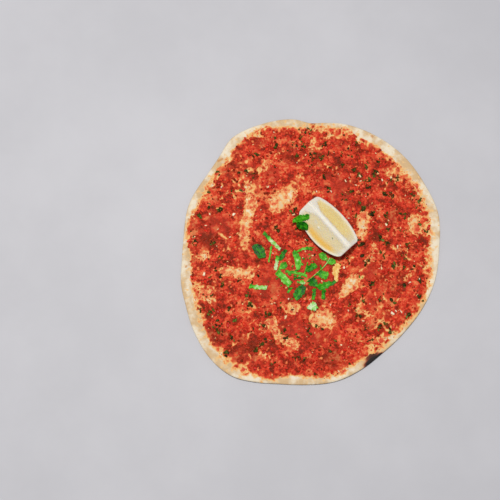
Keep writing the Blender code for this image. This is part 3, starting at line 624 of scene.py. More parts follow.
def mince_finish():
    material, tree, shader = new_finish("mince_paste", Specular_IOR_Level=0.12)
    broad, fine = grain(tree, 9, 4.0, 0.55, 1), grain(tree, 2.4, 4.0, 0.65, 2)
    mixed = plus(tree, maths(tree, "MULTIPLY", broad, 0.6), fine, 0.4)
    red = colour_run(tree, between(tree, mixed, 0.36, 0.64), [
        (0.0, tint(104, 28, 2)), (0.25, tint(150, 35, 12)), (0.5, tint(194, 46, 26)),
        (0.75, tint(210, 72, 42)), (1.0, tint(216, 126, 76)),
    ])
    brown = plus(tree, between(tree, grain(tree, 15, 3.0, 0.55, 6), 0.5, 0.66), mark(tree, "browned"))
    red = blend(tree, maths(tree, "MULTIPLY", brown, 0.42, clamp=True), red, tint(116, 36, 10))
    red = blend(tree, maths(tree, "MULTIPLY", mark(tree, "calm"), 0.45), red, tint(178, 50, 30))
    paste = plus(tree, mark(tree, "paste"), swinging(tree, fine, 0.9))
    film = colour_run(tree, between(tree, paste, 0.0, 0.7), [
        (0.0, tint(222, 184, 118)), (0.35, tint(220, 146, 86)), (0.7, tint(212, 98, 56)),
        (1.0, tint(202, 62, 36)),
    ])
    tree.links.new(blend(tree, between(tree, paste, 0.27, 0.8), film, red), shader.inputs["Base Color"])
    roughened(tree, shader, grain(tree, 4, 3.0, 0.6, 4), 0.25, 0.6)
    bumped(tree, shader, plus(tree, grain(tree, 1.1, 4.0, 0.65, 7), fine, 0.8), 0.7)
    return material


# %% Build the spread
SPREAD_STEP = 0.95
SPREAD_REACH = 136.0
TUCK = -0.3  # the sheet ends this far under the bread's skin

line = np.arange(-SPREAD_REACH, SPREAD_REACH + 0.1, SPREAD_STEP)
grid_x, grid_y = np.meshgrid(line, line, indexing="ij")
grid_thick = thickness(grid_x, grid_y)
corner_thick = [grid_thick[:-1, :-1], grid_thick[1:, :-1], grid_thick[:-1, 1:], grid_thick[1:, 1:]]
kept = np.minimum.reduce(corner_thick) > TUCK
number = np.full(grid_x.shape, -1)
used = np.zeros(grid_x.shape, bool)
for a in (0, 1):
    for b in (0, 1):
        used[a:len(line) - 1 + a, b:len(line) - 1 + b] |= kept
number[used] = np.arange(used.sum())
top_z = bread_skin(grid_x, grid_y) + np.maximum(grid_thick, TUCK)
spread_points = np.column_stack([grid_x[used], grid_y[used], top_z[used]])
i, j = np.nonzero(kept)
cell_corners = [number[i, j], number[i + 1, j], number[i + 1, j + 1], number[i, j + 1]]
spread_faces = np.column_stack(cell_corners).tolist()
calm = near_spots(CALM_SPOTS, grid_x[used], grid_y[used])
browned = near_spots(BROWNED_SPOTS, grid_x[used], grid_y[used]) * (1 - calm)
spread_marks = {"paste": np.clip(grid_thick[used] / 1.5, 0, 1), "calm": calm, "browned": browned}
spread = make_piece("mince_spread", spread_points, spread_faces, mince_finish(), spread_marks)
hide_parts("meat_topping")

# %% [markdown]
# ## Grains on the spread
#
# Each kind of grain is one joined mesh: a small body is repeated over an array of places, with its own
# size, turn, tilt and dents. Instances would be lighter, but only real mesh leaves with the model. The
# tone that is written on each grain varies its colour, so that a handful of materials gives thousands of
# different crumbs.

# %% Helper for scattered grains
def round_body(subdivisions, squareness=1.0):
    """Points and faces of a small ball, pushed towards a box where squareness is under 1."""
    ball = bmesh.new()
    bmesh.ops.create_icosphere(ball, subdivisions=subdivisions, radius=1.0)
    places = np.array([v.co for v in ball.verts])
    faces = np.array([[v.index for v in f.verts] for f in ball.faces])
    ball.free()
    return np.sign(places) * np.abs(places) ** squareness, faces


def shard_body(corners):
    """Points and faces of a thin flat shard, a fan over and a fan under."""
    turn = np.arange(corners) * 2 * np.pi / corners
    edge = np.column_stack([np.cos(turn), np.sin(turn), np.zeros(corners)])
    places = np.vstack([edge + (0, 0, 1), edge - (0, 0, 1), [(0, 0, 1.6), (0, 0, -0.4)]])
    top, low = 2 * corners, 2 * corners + 1
    faces = []
    for k in range(corners):
        n = (k + 1) % corners
        under_k, under_n = corners + k, corners + n
        faces += [(top, k, n), (low, under_n, under_k), (k, under_k, under_n), (k, under_n, n)]
    return places, np.array(faces)


def scatter(name, body, x, y, lift, sizes, draw, material, dent=0.12, tilt=0.25, tone=None):
    """One mesh of many grains. sizes holds each grain's half length, half width and half height."""
    places, faces = body
    count = len(x)
    grains = places[None] * (1 + draw.normal(0, dent, (count, len(places), 1))) * sizes[:, None, :]
    for axes, angle in (((1, 2), draw.normal(0, tilt, count)), ((0, 2), draw.normal(0, tilt, count)),
                        ((0, 1), draw.uniform(0, 2 * np.pi, count))):
        first, second = grains[:, :, axes[0]].copy(), grains[:, :, axes[1]].copy()
        cos, sin = np.cos(angle)[:, None], np.sin(angle)[:, None]
        grains[:, :, axes[0]] = first * cos - second * sin
        grains[:, :, axes[1]] = first * sin + second * cos
    ground = bread_skin(x, y) + np.maximum(thickness(x, y), 0)
    grains += np.column_stack([x, y, ground + lift])[:, None, :]
    tone = draw.uniform(0, 1, count) if tone is None else tone
    all_faces = (faces[None] + np.arange(count)[:, None, None] * len(places)).reshape(-1, 3)
    marks = {"tone": np.repeat(tone, len(places))}
    return make_piece(name, grains.reshape(-1, 3), all_faces.tolist(), material, marks)


SCATTER_REACH = 134.0


def free_places(draw, count, gap, wanted, reach=SCATTER_REACH):
    """Random places, no two closer than the gap, kept with the chance that wanted gives for each."""
    angle, radius = draw.uniform(0, 2 * np.pi, 40 * count), reach * np.sqrt(draw.uniform(0, 1, 40 * count))
    x, y = radius * np.cos(angle), radius * np.sin(angle)
    chosen = draw.uniform(0, 1, len(x)) < wanted(x, y)
    cells, found = set(), []
    for px, py in zip(x[chosen], y[chosen]):
        cell = (int(px // gap), int(py // gap))
        if cell not in cells:
            cells.add(cell)
            found.append((px, py))
        if len(found) == count:
            break
    return np.array(found).T


FREE_HEIGHT = 4.0  # a grain needs this much air above the bread


def on_mince(x, y, least=0.45):
    """1 where the mince is thick enough for a grain and nothing lies over it."""
    return (thickness(x, y) > least) & (read_map(ceiling, x, y) > FREE_HEIGHT)


# %% [markdown]
# ## Crumbs of meat and pepper
#
# Browned mince shows as rounded, matt, red-brown crumbs, and red pepper and tomato as flatter, brighter
# and glossier bits. They look alike from afar, so both share one body with different proportions and one
# way of tinting.

# %% Helpers for crumbs
def grain_finish(name, stops, roughness, sheen_bump, size=1.2):
    """A moist grain: its colour runs along the stops by the grain's own tone and a fine mottle."""
    material, tree, shader = new_finish(name, Roughness=roughness, Specular_IOR_Level=0.14)
    value = plus(tree, mark(tree, "tone"), swinging(tree, grain(tree, size, 3.0, 0.6), 0.7))
    tree.links.new(colour_run(tree, value, stops), shader.inputs["Base Color"])
    bumped(tree, shader, grain(tree, 0.6, 4.0, 0.6, 3), sheen_bump, 0.9)
    return material


def meat_tone(draw, x, y):
    """Crumbs near one another are browned alike."""
    lighter = 0.55 + 0.7 * hills(x, y, 9, 64) - 0.25 * near_spots(BROWNED_SPOTS, x, y)
    return np.clip(lighter + draw.normal(0, 0.09, len(x)), 0, 1)


def on_patch(x, y):
    """1 where the mince is missing inside its border."""
    return (read_map(spread_map, x, y) > 0.3) & (thickness(x, y) < 0.05)


def crumb_chance(x, y):
    """How likely a crumb is at a place: crowded here and there, and rare on the calm spots."""
    crowded = 0.3 + 0.7 * ease(-0.4, 0.5, hills(x, y, 12, 61))
    return on_mince(x, y) * crowded * (1 - 0.85 * near_spots(CALM_SPOTS, x, y))


# %% Crumbs of meat
CRUMB_COUNT, STRAY_COUNT = 1750, 330  # on the mince, and on the bare patches
draw = np.random.default_rng(71)
x, y = free_places(draw, CRUMB_COUNT, 2.0, crumb_chance)
long = draw.uniform(0.7, 1.6, len(x))
stray_x, stray_y = free_places(draw, STRAY_COUNT, 1.5, on_patch)
x, y = np.append(x, stray_x), np.append(y, stray_y)
long = np.append(long, draw.uniform(0.3, 0.9, len(stray_x)))
wide, high = long * draw.uniform(0.6, 0.95, len(x)), long * draw.uniform(0.4, 0.62, len(x))
sizes = np.column_stack([long, wide, high])
meat_stops = [
    (0.0, tint(98, 31, 2)), (0.35, tint(140, 37, 12)), (0.65, tint(184, 47, 26)),
    (1.0, tint(214, 98, 56)),
]
tone = meat_tone(draw, x, y)
tone[-len(stray_x):] = draw.uniform(0.55, 1.0, len(stray_x))
scatter("mince_crumbs", round_body(2), x, y, 0.12 * long, sizes, draw,
        grain_finish("browned_mince", meat_stops, 0.5, 0.35), tone=tone)

# %% Bits of pepper
def pepper_chance(x, y):
    """How likely a bit of pepper is at a place."""
    return crumb_chance(x, y) * ease(-0.6, 0.3, hills(x, y, 17, 65))


PEPPER_COUNT = 560
draw = np.random.default_rng(72)
x, y = free_places(draw, PEPPER_COUNT, 3.4, pepper_chance)
long = draw.uniform(1.0, 2.3, len(x))
sizes = np.column_stack([long, long * draw.uniform(0.45, 0.8, len(x)), draw.uniform(0.3, 0.5, len(x))])
pepper_stops = [
    (0.0, tint(156, 22, 10)), (0.4, tint(202, 42, 26)), (0.75, tint(214, 74, 44)),
    (1.0, tint(220, 128, 76)),
]
scatter("pepper_bits", round_body(2, 0.8), x, y, 0.22, sizes, draw,
        grain_finish("red_pepper", pepper_stops, 0.3, 0.2))

# %% [markdown]
# ## Herbs and onion in the mince
#
# Parsley that was baked in the mince is dark, olive to nearly black, and lies in flat torn flakes of one
# to four millimetres, in loose clumps. Diced onion turns into small pale wet chunks. The clumps and
# chunks that stand out are listed one by one, and the rest are placed by chance.

# %% Herb flakes
HERB_CLUMPS = (  # x, y in millimetres of the clumps that stand out
    (-94, 78), (-66, 79), (-58, 78), (-78, 58), (-58, 98), (-35, 107), (-14, 108), (-8, 106), (-13, 96),
    (1, 92), (-1, 121), (-104, 43), (-94, 38), (-113, 32), (-117, 5), (-101, 4), (-35, 19), (-17, 39),
    (47, 109), (42, 104), (49, 97), (33, 99), (20, 99), (16, 107), (12, 94), (3, 97), (33, 85), (59, 86),
    (72, 93), (68, 78), (65, 74), (60, 70), (56, 67), (49, 75), (89, 72), (59, 63), (42, 58), (18, 62),
    (75, 56), (81, 55), (106, 56), (113, 50), (50, 46), (53, 41), (62, 35), (77, 34), (46, 34), (90, 35),
    (97, 33), (109, 25), (77, 18), (117, 18), (71, 10), (76, 5), (52, 4), (98, 3), (95, 16), (35, 49),
    (-91, -10), (-95, -23), (-92, -30), (-101, -31), (-73, -34), (-91, -39), (-101, -47), (-108, -47),
    (-111, -62), (-102, -66), (-63, -58), (-67, -51), (-77, -72), (-43, -67), (-93, -78), (-92, -85),
    (-97, -81), (-80, -92), (-50, -81), (-50, -96), (-56, -104), (-87, -106), (-42, -116), (-17, -111),
    (-6, -111), (-29, -85), (-25, -90), (-2, -78), (-3, -85), (55, -16), (59, -13), (72, -7), (83, -19),
    (94, -19), (103, -20), (60, -38), (52, -54), (92, -39), (82, -55), (109, -35), (45, -68), (54, -82),
    (66, -81), (79, -85), (58, -94), (16, -104), (69, -53), (108, -50), (96, -68), (21, -95), (5, -80),
)
BLACK_BITS = (  # x, y, half length in millimetres of the burnt ones
    (62.8, 34.7, 2.4), (75.0, 55.9, 1.7), (56.9, -93.9, 2.6), (3.1, -7.4, 1.5),
)
HERB_COUNT = 95  # the clumps that are placed by chance
CLUMP_SPREAD = 1.7


def herb_chance(x, y):
    """How likely a clump of herbs is at a place."""
    return on_mince(x, y, 0.3) * ease(-0.7, 0.5, hills(x, y, 19, 62))


draw = np.random.default_rng(73)
x, y = free_places(draw, HERB_COUNT, 7.0, herb_chance)
in_clump = np.append(draw.integers(1, 4, len(x)), draw.integers(5, 12, len(HERB_CLUMPS)))
clumps = np.array(HERB_CLUMPS, float)
x, y = np.append(x, clumps[:, 0]), np.append(y, clumps[:, 1])
x, y = np.repeat(x, in_clump), np.repeat(y, in_clump)
x, y = x + draw.normal(0, CLUMP_SPREAD, len(x)), y + draw.normal(0, CLUMP_SPREAD, len(x))
clear = on_mince(x, y, 0.0)
x, y = x[clear], y[clear]
long = 0.45 + 1.75 * draw.uniform(0, 1, len(x)) ** 2.2
black = np.array(BLACK_BITS)
x, y, long = np.append(x, black[:, 0]), np.append(y, black[:, 1]), np.append(long, black[:, 2])
tone = np.append(draw.uniform(0, 1, len(x) - len(black)), np.zeros(len(black)))
sizes = np.column_stack([long, long * draw.uniform(0.45, 0.9, len(x)), np.full(len(x), 0.16)])
herb_stops = [
    (0.0, tint(36, 30, 2)), (0.35, tint(52, 50, 6)), (0.7, tint(68, 70, 16)), (0.9, tint(80, 88, 26)),
    (1.0, tint(94, 110, 42)),
]
scatter("herb_flakes", shard_body(7), x, y, 0.34, sizes, draw,
        grain_finish("baked_herb", herb_stops, 0.55, 0.15), 0.2, 0.3, tone)

# %% Bits of onion
ONION_CHUNKS = (  # x, y, half length in millimetres
    (-108.7, -26.8, 1.9), (-26.5, -70, 2.0), (-40, -57, 1.4), (-37.6, -56, 1.0), (80.7, -66.5, 2.2),
    (84, -64, 1.3), (89.5, -65, 1.4), (87.5, 0.8, 1.8), (90.3, 2.5, 1.2), (36, 69.5, 1.6),
    (40, 72.5, 1.3), (51, 74.5, 1.6), (51.5, 69.5, 1.3), (46.6, 65.3, 1.2), (73.7, 70.6, 1.7),
    (83.2, 73.2, 1.5), (76.3, 23.8, 1.6), (79, 28, 1.1), (20.8, 58.2, 1.4), (6, 58.6, 1.1),
    (38.3, 30.4, 1.2), (-79, 34.3, 1.7), (-92.2, 63.4, 1.6), (-63.3, 63.4, 1.5), (-107.5, 22.8, 1.2),
    (-82.5, 10.9, 1.2), (-121, 34.3, 1.8), (-4.8, 97, 1.3), (-43.2, 63.4, 1.1), (-17.9, 34.3, 1.4),
    (-51.1, 39.1, 1.1), (70.7, -21, 1.8), (108.2, -32.4, 1.4), (98.9, -35.3, 1.5), (32.8, -20.1, 1.7),
    (28.6, -97.9, 1.2), (25.7, -124, 1.4), (51.1, -74.1, 1.2), (-39, -5.6, 1.1), (10.1, -34.4, 1.2),
    (-2, -52.4, 1.3), (1, -8.1, 1.2), (-23.5, -52, 0.9), (18.5, -58, 1.0),
)
ONION_COUNT = 190  # the small ones that are placed by chance


def onion_chance(x, y):
    """How likely a small bit of onion is at a place."""
    return on_mince(x, y) * ease(-0.5, 0.6, hills(x, y, 24, 63))


draw = np.random.default_rng(74)
x, y = free_places(draw, ONION_COUNT, 5.0, onion_chance)
chunks = np.array(ONION_CHUNKS)
clear = on_mince(chunks[:, 0], chunks[:, 1], -1.0)
x, y = np.append(chunks[clear, 0], x), np.append(chunks[clear, 1], y)
long = np.append(chunks[clear, 2], 0.45 + 0.8 * draw.uniform(0, 1, len(x) - clear.sum()) ** 2)
tone = np.append(draw.uniform(0.5, 0.95, clear.sum()), 0.7 * draw.uniform(0, 1, len(x) - clear.sum()) ** 1.5)
wide, high = long * draw.uniform(0.35, 0.7, len(x)), long * draw.uniform(0.25, 0.4, len(x))
sizes = np.column_stack([long, wide, high])
onion_stops = [(0.0, tint(222, 138, 84)), (0.45, tint(226, 182, 124)), (1.0, tint(234, 222, 196))]
scatter("onion_bits", round_body(2, 0.7), x, y, 0.3, sizes, draw,
        grain_finish("diced_onion", onion_stops, 0.3, 0.12, 0.8), 0.27, tone=tone)

# %% [markdown]
# ## The lemon
#
# A quarter of a lemon, cut lengthwise, with its ends trimmed. The cut faces are the point of it: white
# pith thicker at the ends, a white core along the ridge, and flesh that lies a little lower and is packed
# with juice sacs running from the core to the rind. The wedge is lofted from sections along its axis, and
# how far a point is from the core, the rind and the ends decides whether it is flesh, pith or rind.

# %% The lemon's form
LEMON_MIDDLE = (15.9, 19.0)
LEMON_TURN = math.radians(-48.5)
LEMON_RADIUS = 28.5
LEMON_HALF = 30.5
LEMON_OVAL = 38.8
LEMON_END_ROUND = 3.6  # the trimmed ends' edges are round over this distance
FLESH_SINK = 0.5
SKIN_ALONG, SKIN_OUT = -5.6, 12.8  # a scrap of membrane on the left face, from the middle and the ridge
stations = np.sin(np.linspace(-1, 1, 141) * np.pi / 2 * 0.96) / math.sin(np.pi / 2 * 0.96) * LEMON_HALF
face_share = np.linspace(0, 1, 47)
rind_turn = np.linspace(0, 1, 50)[1:-1]


def lemon_section(along):
    """One section, up the left face, down the right one and back under the rind, with its marks."""
    over = max(0.0, abs(along) - LEMON_HALF + LEMON_END_ROUND)
    trimmed = LEMON_END_ROUND - math.sqrt(max(0.0, LEMON_END_ROUND**2 - over**2))
    radius = LEMON_RADIUS * math.sqrt(1 - (along / LEMON_OVAL) ** 2) - trimmed
    far_end, near_end = ease(8, 30, -along), ease(12, 30, along)
    from_axis = face_share * radius
    sections = []
    for side in (-1, 1):
        core = (3.9 if side > 0 else 4.2) + 8 * far_end**2 + 1.6 * near_end**2
        core = core + 0.4 * hills(along, side, 6, 81)
        pith = (3.1 if side > 0 else 1.0) + 1.5 * far_end + 0.8 * near_end + 0.3 * hills(along, 9.0, 7, 82)
        end_room = 0.8 * (LEMON_HALF - 2.6 - (2.5 if side > 0 else 0.6) * far_end - abs(along))
        room = np.minimum(np.minimum(from_axis - core, radius - pith - from_axis), end_room)
        if side < 0:
            off_along, off_out = (along - SKIN_ALONG) / 2.4, (from_axis - SKIN_OUT) / 2.6
            room = room * (1 - 1.15 * np.exp(-(off_along**2) - off_out**2))
        flesh = ease(-2.0, 2.8, room + 0.7 * hills(along * 1.5, from_axis, 3.0, 89))
        sacs = 0.14 * hills(side * 40 + along * 2.4, from_axis * 0.6, 3.2, 83)
        sacs = sacs + 0.1 * hills(along, from_axis, 1.4, 84)
        wrinkle = 0.07 * hills(along + side * 9, from_axis, 2.2, 85)
        depth = flesh * (FLESH_SINK + sacs) + (1 - flesh) * wrinkle + 0.45 * (1 - ease(0, 2.4, from_axis))
        x = side * (from_axis - depth) * math.sqrt(0.5)
        z = -(from_axis + depth) * math.sqrt(0.5) - 0.5 * trimmed
        band = np.exp(-(((from_axis / radius - 0.79) / 0.15) ** 2))
        band = band * ease(-22, -6, along) * ease(25, 17, along)
        streak = ease(0.1, 0.7, hills(along * 0.3 + side * 7, from_axis - along * 0.1, 2.3, 94))
        pale = 0.62 + 0.38 * streak if side < 0 else 0.3 * ease(0.4, 0.95, from_axis / radius)
        pale = np.maximum(pale, 0.95 * near_end)
        marks = [flesh, np.zeros(len(x)), band * flesh * (side < 0), pale * np.ones(len(x))]
        sections.append(np.column_stack([x, z, *marks]))
    left, right = sections[0][::-1], sections[1][1:]
    angle = -np.pi / 4 - rind_turn * np.pi / 2
    round_rind = angle * LEMON_RADIUS
    pores = 0.09 * hills(along, round_rind, 1.5, 86) + 0.25 * hills(along, round_rind, 12, 87)
    outer = radius + np.minimum(pores, 0.1) * np.sin(np.pi * rind_turn) ** 0.5
    ones, zeros = np.ones(len(angle)), np.zeros(len(angle))
    rind = [outer * np.cos(angle), outer * np.sin(angle) - 0.5 * trimmed, zeros, ones, zeros, zeros]
    return np.vstack([left, right, np.column_stack(rind)])


# %% Loft the lemon
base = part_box("lemon_wedge")[0].z / MM
lemon_loops = [lemon_section(along) for along in stations]
section_size = len(lemon_loops[0])
lemon_points, lemon_values = [], []
for along, loop in zip(stations, lemon_loops):
    lemon_points.append(np.column_stack([np.full(section_size, along), loop[:, 0], loop[:, 1]]))
    lemon_values.append(loop[:, 2:])
END_RINGS = (0.93, 0.8, 0.6, 0.35, 0.0)
for end, loop in ((-1, lemon_points[0]), (1, lemon_points[-1])):
    middle = np.array([0, loop[:, 1].mean(), loop[:, 2].mean()])
    for share in END_RINGS:
        ring = middle + (loop - middle) * share
        ring[:, 0] = end * (LEMON_HALF - 0.1 - 0.1 * hills(ring[:, 1], ring[:, 2], 3.5, 88) * (1 - share))
        lemon_points.append(ring)
        lemon_values.append(np.zeros((section_size, 4)))
local, lemon_values = np.vstack(lemon_points), np.vstack(lemon_values)
way = np.array([math.cos(LEMON_TURN), math.sin(LEMON_TURN)])
across = np.array([-math.sin(LEMON_TURN), math.cos(LEMON_TURN)])
plan = np.array(LEMON_MIDDLE) + local[:, :1] * way + local[:, 1:2] * across
lemon_mesh_points = np.column_stack([plan, base + LEMON_RADIUS + local[:, 2]])
lemon_mesh_points[:, 2] = np.maximum(lemon_mesh_points[:, 2], base)

first_end, last_end = len(stations), len(stations) + len(END_RINGS)
ladders = [list(range(first_end)), [0, *range(first_end, last_end)]]
ladders += [[first_end - 1, *range(last_end, last_end + len(END_RINGS))]]
lemon_faces = []
for rungs, flipped in zip(ladders, (False, True, False)):
    for low, high in zip(rungs, rungs[1:]):
        low_start, high_start = low * section_size, high * section_size
        for k in range(section_size):
            n = (k + 1) % section_size
            quad = (low_start + k, low_start + n, high_start + n, high_start + k)
            lemon_faces.append(quad[::-1] if flipped else quad)


# %% The lemon's finish
def lemon_finish():
    soft = {"Subsurface_Weight": 0.2, "Subsurface_Radius": (1.0, 0.8, 0.4), "Subsurface_Scale": 2.0 * MM}
    material, tree, shader = new_finish("lemon", Specular_IOR_Level=0.4, **soft)
    sacs = grain(tree, 2.2, 3.0, 0.5, 5)
    broad = grain(tree, 12, 2.0, 0.5, 9)
    mixed = plus(tree, maths(tree, "MULTIPLY", sacs, 0.45), broad, 0.55)
    flesh = colour_run(tree, mixed, [
        (0.3, tint(224, 200, 124)), (0.5, tint(230, 209, 138)), (0.72, tint(238, 221, 162)),
    ])
    flesh = blend(tree, mark(tree, "pale"), flesh, tint(216, 207, 180))
    flesh = blend(tree, mark(tree, "amber"), flesh, tint(234, 188, 92))
    pith = blend(tree, grain(tree, 5, 3.0), tint(224, 220, 204), tint(230, 227, 218))
    peel = blend(tree, between(tree, grain(tree, 9, 3.0), 0.3, 0.7), tint(214, 186, 70), tint(226, 206, 100))
    inside = blend(tree, mark(tree, "flesh"), pith, flesh)
    tree.links.new(blend(tree, mark(tree, "rind"), inside, peel), shader.inputs["Base Color"])
    roughened(tree, shader, mark(tree, "flesh"), 0.5, 0.26)
    bumped(tree, shader, plus(tree, sacs, grain(tree, 0.7, 2.0), 0.3), 0.25, 0.7)
    return material


lemon_marks = dict(zip(("flesh", "rind", "amber", "pale"), lemon_values.T))
lemon = make_piece("lemon_quarter", lemon_mesh_points, lemon_faces, lemon_finish(), lemon_marks)
smaller = bmesh.new()
smaller.from_mesh(lemon.data)
bmesh.ops.remove_doubles(smaller, verts=smaller.verts, dist=0.004 * MM)
bmesh.ops.recalc_face_normals(smaller, faces=smaller.faces)
smaller.to_mesh(lemon.data)
smaller.free()
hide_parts("lemon_wedge")

# %% [markdown]
# ## Fresh parsley
#
# Chopped leaves are thin, limp and a little cupped, with a paler rib and side veins; some show their pale
# underside. Each solid already lies where its piece of leaf does, so the fine leaf is made from it: its
# faces are split, its corners are eased and its edge is ruffled. Each point learns how far along and
# across the leaf it is. From those two numbers come the lobes along the edge, the veins and the change of
# green from end to end.

# %% Leaves
LEAF_GREENS = (  # from 0, deep green, to 1, pale underside, at the start and the end of each piece
    (0.52, 0.62), (0.14, 0.26), (0.4, 0.86), (0.55, 0.84), (0.2, 0.28), (0.46, 0.55), (0.44, 0.56),
    (0.2, 0.3), (0.2, 0.26), (0.22, 0.32), (0.34, 0.4), (0.42, 0.5), (0.3, 0.44), (0.36, 0.4),
    (0.5, 0.56), (0.5, 0.6), (0.4, 0.32), (0.5, 0.55), (0.6, 0.68), (0.5, 0.96), (0.46, 0.64),
    # (0.16, 0.3) is the piece leaning on the lemon's rim under another leaf: its dark green is partly its own
    # and partly painted shade from that leaf
    (0.34, 0.58), (0.42, 0.5), (0.45, 0.5), (0.8, 0.9), (0.72, 0.86), (0.16, 0.3), (0.42, 0.52),
)
STRAW_LEAVES = ("parsley_24",)  # the leaf that has turned yellow
LOBE_LENGTH, LOBE_DEPTH = 3.6, 1.3  # the lobes along a leaf's edge, in millimetres


def leaf_finish():
    soft = {"Subsurface_Weight": 0.15, "Subsurface_Radius": (0.3, 1.0, 0.2), "Subsurface_Scale": 0.8 * MM}
    material, tree, shader = new_finish("fresh_leaf", Roughness=0.45, Specular_IOR_Level=0.15, **soft)
    mottle = swinging(tree, grain(tree, 3.0, 5.0, 0.65), 0.75)
    along, side = mark(tree, "along"), maths(tree, "ABSOLUTE", mark(tree, "across"))
    rib = maths(tree, "SUBTRACT", 1.0, between(tree, side, 0.02, 0.14))
    slant = maths(tree, "SUBTRACT", maths(tree, "MULTIPLY", along, 7.0), maths(tree, "MULTIPLY", side, 1.6))
    stripe = maths(tree, "ABSOLUTE", maths(tree, "SUBTRACT", maths(tree, "FRACT", slant), 0.5))
    side_vein = maths(tree, "SUBTRACT", 0.7, between(tree, stripe, 0.02, 0.13), clamp=True)
    vein = maths(tree, "MAXIMUM", rib, side_vein)
    value = plus(tree, plus(tree, mark(tree, "tone"), mottle), vein, 0.14)
    green = colour_run(tree, value, [
        (0.0, tint(3, 44, 4)), (0.25, tint(8, 94, 6)), (0.5, tint(54, 146, 8)),
        (0.75, tint(104, 186, 54)), (1.0, tint(194, 210, 168)),
    ])
    straw = blend(tree, between(tree, value, 0.35, 0.9), tint(214, 164, 84), tint(232, 210, 142))
    tree.links.new(blend(tree, mark(tree, "straw"), green, straw), shader.inputs["Base Color"])
    bumped(tree, shader, maths(tree, "SUBTRACT", grain(tree, 0.9, 3.0), vein), 0.12, 0.8)
    return material


def leaf_axes(places):
    """Each point's place along a leaf (0 to 1) and across it (-1 to 1), and the leaf's own measures."""
    centred = places[:, :2] - places[:, :2].mean(0)
    axes = np.linalg.svd(centred, full_matrices=False)[2]
    along, across = centred @ axes[0], centred @ axes[1]
    if axes[0][1] > 0:  # start at the end that is further from the viewer
        along = -along
    length, half = np.ptp(along), np.abs(across).max()
    return (along - along.min()) / length, across / half, length, half, axes[1]


def fine_leaf(name, material, cuts, greens, ruffle, straw=0.0):
    """A finer copy of a leaf or stalk, in the solid's place."""
    shape = bmesh.new()
    shape.from_mesh(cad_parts[name].data)
    bmesh.ops.remove_doubles(shape, verts=shape.verts, dist=0.005 * MM)
    bmesh.ops.triangulate(shape, faces=shape.faces)
    bmesh.ops.subdivide_edges(shape, edges=shape.edges, cuts=cuts, use_grid_fill=True)
    every_axis = {"use_axis_x": True, "use_axis_y": True, "use_axis_z": True}
    bmesh.ops.smooth_vert(shape, verts=shape.verts, factor=0.45, **every_axis)
    shape.verts.ensure_lookup_table()
    places = np.array([v.co for v in shape.verts]) / MM
    faces = [[v.index for v in f.verts] for f in shape.faces]
    shape.free()
    x, y = places[:, 0].copy(), places[:, 1].copy()
    places[:, 0] += ruffle * (hills(x, y, 2.6, 91) + 0.6 * hills(x, y, 1.1, 95))
    places[:, 1] += ruffle * (hills(x, y, 2.6, 92) + 0.6 * hills(x, y, 1.1, 96))
    places[:, 2] += 0.5 * ruffle * hills(x, y, 2.4, 93)
    along, across, length, half, short_axis = leaf_axes(places)
    lobes = np.abs(np.sin(np.pi * (along * length / LOBE_LENGTH + hills(x, y, 6, 98)))) - 0.6
    outward = LOBE_DEPTH * ease(1.3, 2.3, half) * lobes * across * np.abs(across)
    places[:, :2] += outward[:, None] * short_axis
    tone = greens[0] + (greens[1] - greens[0]) * ease(0.2, 0.5, along) + 0.2 * hills(x, y, 3.6, 97)
    marks = {"along": along, "across": across, "tone": tone, "straw": np.full(len(places), straw)}
    piece = make_piece(name.replace("parsley", "leaf"), places, faces, material, marks)
    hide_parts(name)
    return piece


leaf_green = leaf_finish()
for name, greens in zip(leaf_nodes, LEAF_GREENS):
    fine_leaf(name, leaf_green, 4, greens, 0.55, float(name in STRAW_LEAVES))
fine_leaf("parsley_stem", leaf_green, 2, (0.82, 0.66), 0.1)

# %% [markdown]
# ## Crumbs of parsley
#
# A knife leaves small scraps of leaf around the larger pieces, and one on the lemon. They are the same
# torn shards as the baked herbs, in fresh green.

# %% Crumbs of parsley
HEAP_MIDDLE = (-12.0, -28.0)


def by_the_leaves(x, y):
    """How likely a scrap is at a place: only near the chopped leaves, and not under them."""
    near = ease(44, 20, np.hypot(x - HEAP_MIDDLE[0], y - HEAP_MIDDLE[1]))
    return near * (read_map(ceiling, x, y) > FREE_HEIGHT) * (thickness(x, y) > 0.2)


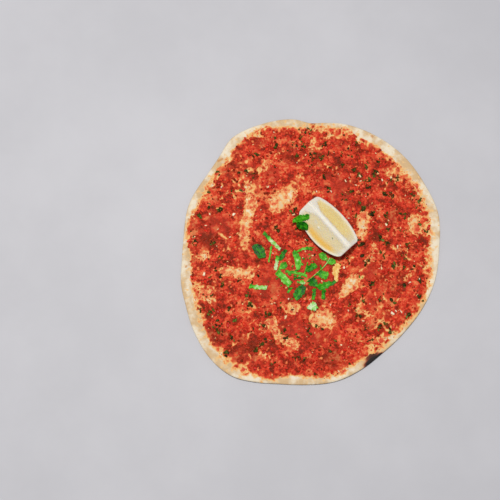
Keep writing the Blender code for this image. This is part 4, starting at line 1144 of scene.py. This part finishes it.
SCRAPS = (  # x, y, half length in millimetres
    (9.2, -19.7, 1.7), (-2.3, -7.0, 1.6), (-1.6, -10.5, 1.8), (-20.7, -34.8, 2.1), (28.5, -17.0, 1.6),
    (-4.0, 0.5, 1.6), (-4.0, 3.4, 1.1), (48.0, -29.3, 1.7), (51.5, -30.5, 1.3), (-14.0, -43.0, 1.5),
    (2.0, -14.5, 1.3), (-33.0, -9.0, 1.2), (14.5, -31.0, 1.6), (-10.0, -33.5, 1.4), (-15.5, -23.0, 2.2),
    (-13.5, -35.0, 1.9), (-9.8, -17.0, 2.0), (-8.3, -11.5, 1.7), (-3.0, -33.0, 2.2), (-22.6, -41.5, 1.8),
    (-2.0, -37.5, 2.1), (6.0, -38.0, 2.3), (-22.5, -27.0, 2.1), (-17.0, -28.5, 2.3), (-6.5, -24.5, 1.8),
    (-19.5, -19.0, 1.6), (9.0, -24.5, 1.8), (-12.0, -29.5, 1.9),
)
SMALL_SCRAPS = 22  # placed by chance
FLECK_ALONG, FLECK_DOWN = 11.7, 6.2  # the fleck on the lemon: along its ridge, and down its left face
draw = np.random.default_rng(75)
x, y = free_places(draw, SMALL_SCRAPS, 4.0, by_the_leaves, 70.0)
by_hand = np.array(SCRAPS)
clear = read_map(ceiling, by_hand[:, 0], by_hand[:, 1]) > 1.5
x, y = np.append(by_hand[clear, 0], x), np.append(by_hand[clear, 1], y)
long = np.append(by_hand[clear, 2], draw.uniform(0.5, 1.2, len(x) - clear.sum()))
lift = np.full(len(x), 0.45)
fleck = np.array(LEMON_MIDDLE) + FLECK_ALONG * way - FLECK_DOWN * across
fleck_ground = bread_skin(*fleck[:, None]) + np.maximum(thickness(*fleck[:, None]), 0)
x, y, long = np.append(x, fleck[0]), np.append(y, fleck[1]), np.append(long, 0.9)
lift = np.append(lift, base + LEMON_RADIUS - FLECK_DOWN - fleck_ground)
sizes = np.column_stack([long, long * draw.uniform(0.3, 0.8, len(x)), np.full(len(x), 0.14)])
scrap_stops = [(0.0, tint(12, 72, 12)), (0.5, tint(48, 132, 26)), (1.0, tint(116, 186, 74))]
scatter("parsley_scraps", shard_body(6), x, y, lift, sizes, draw,
        grain_finish("parsley_scrap", scrap_stops, 0.42, 0.1), 0.2, 0.25)
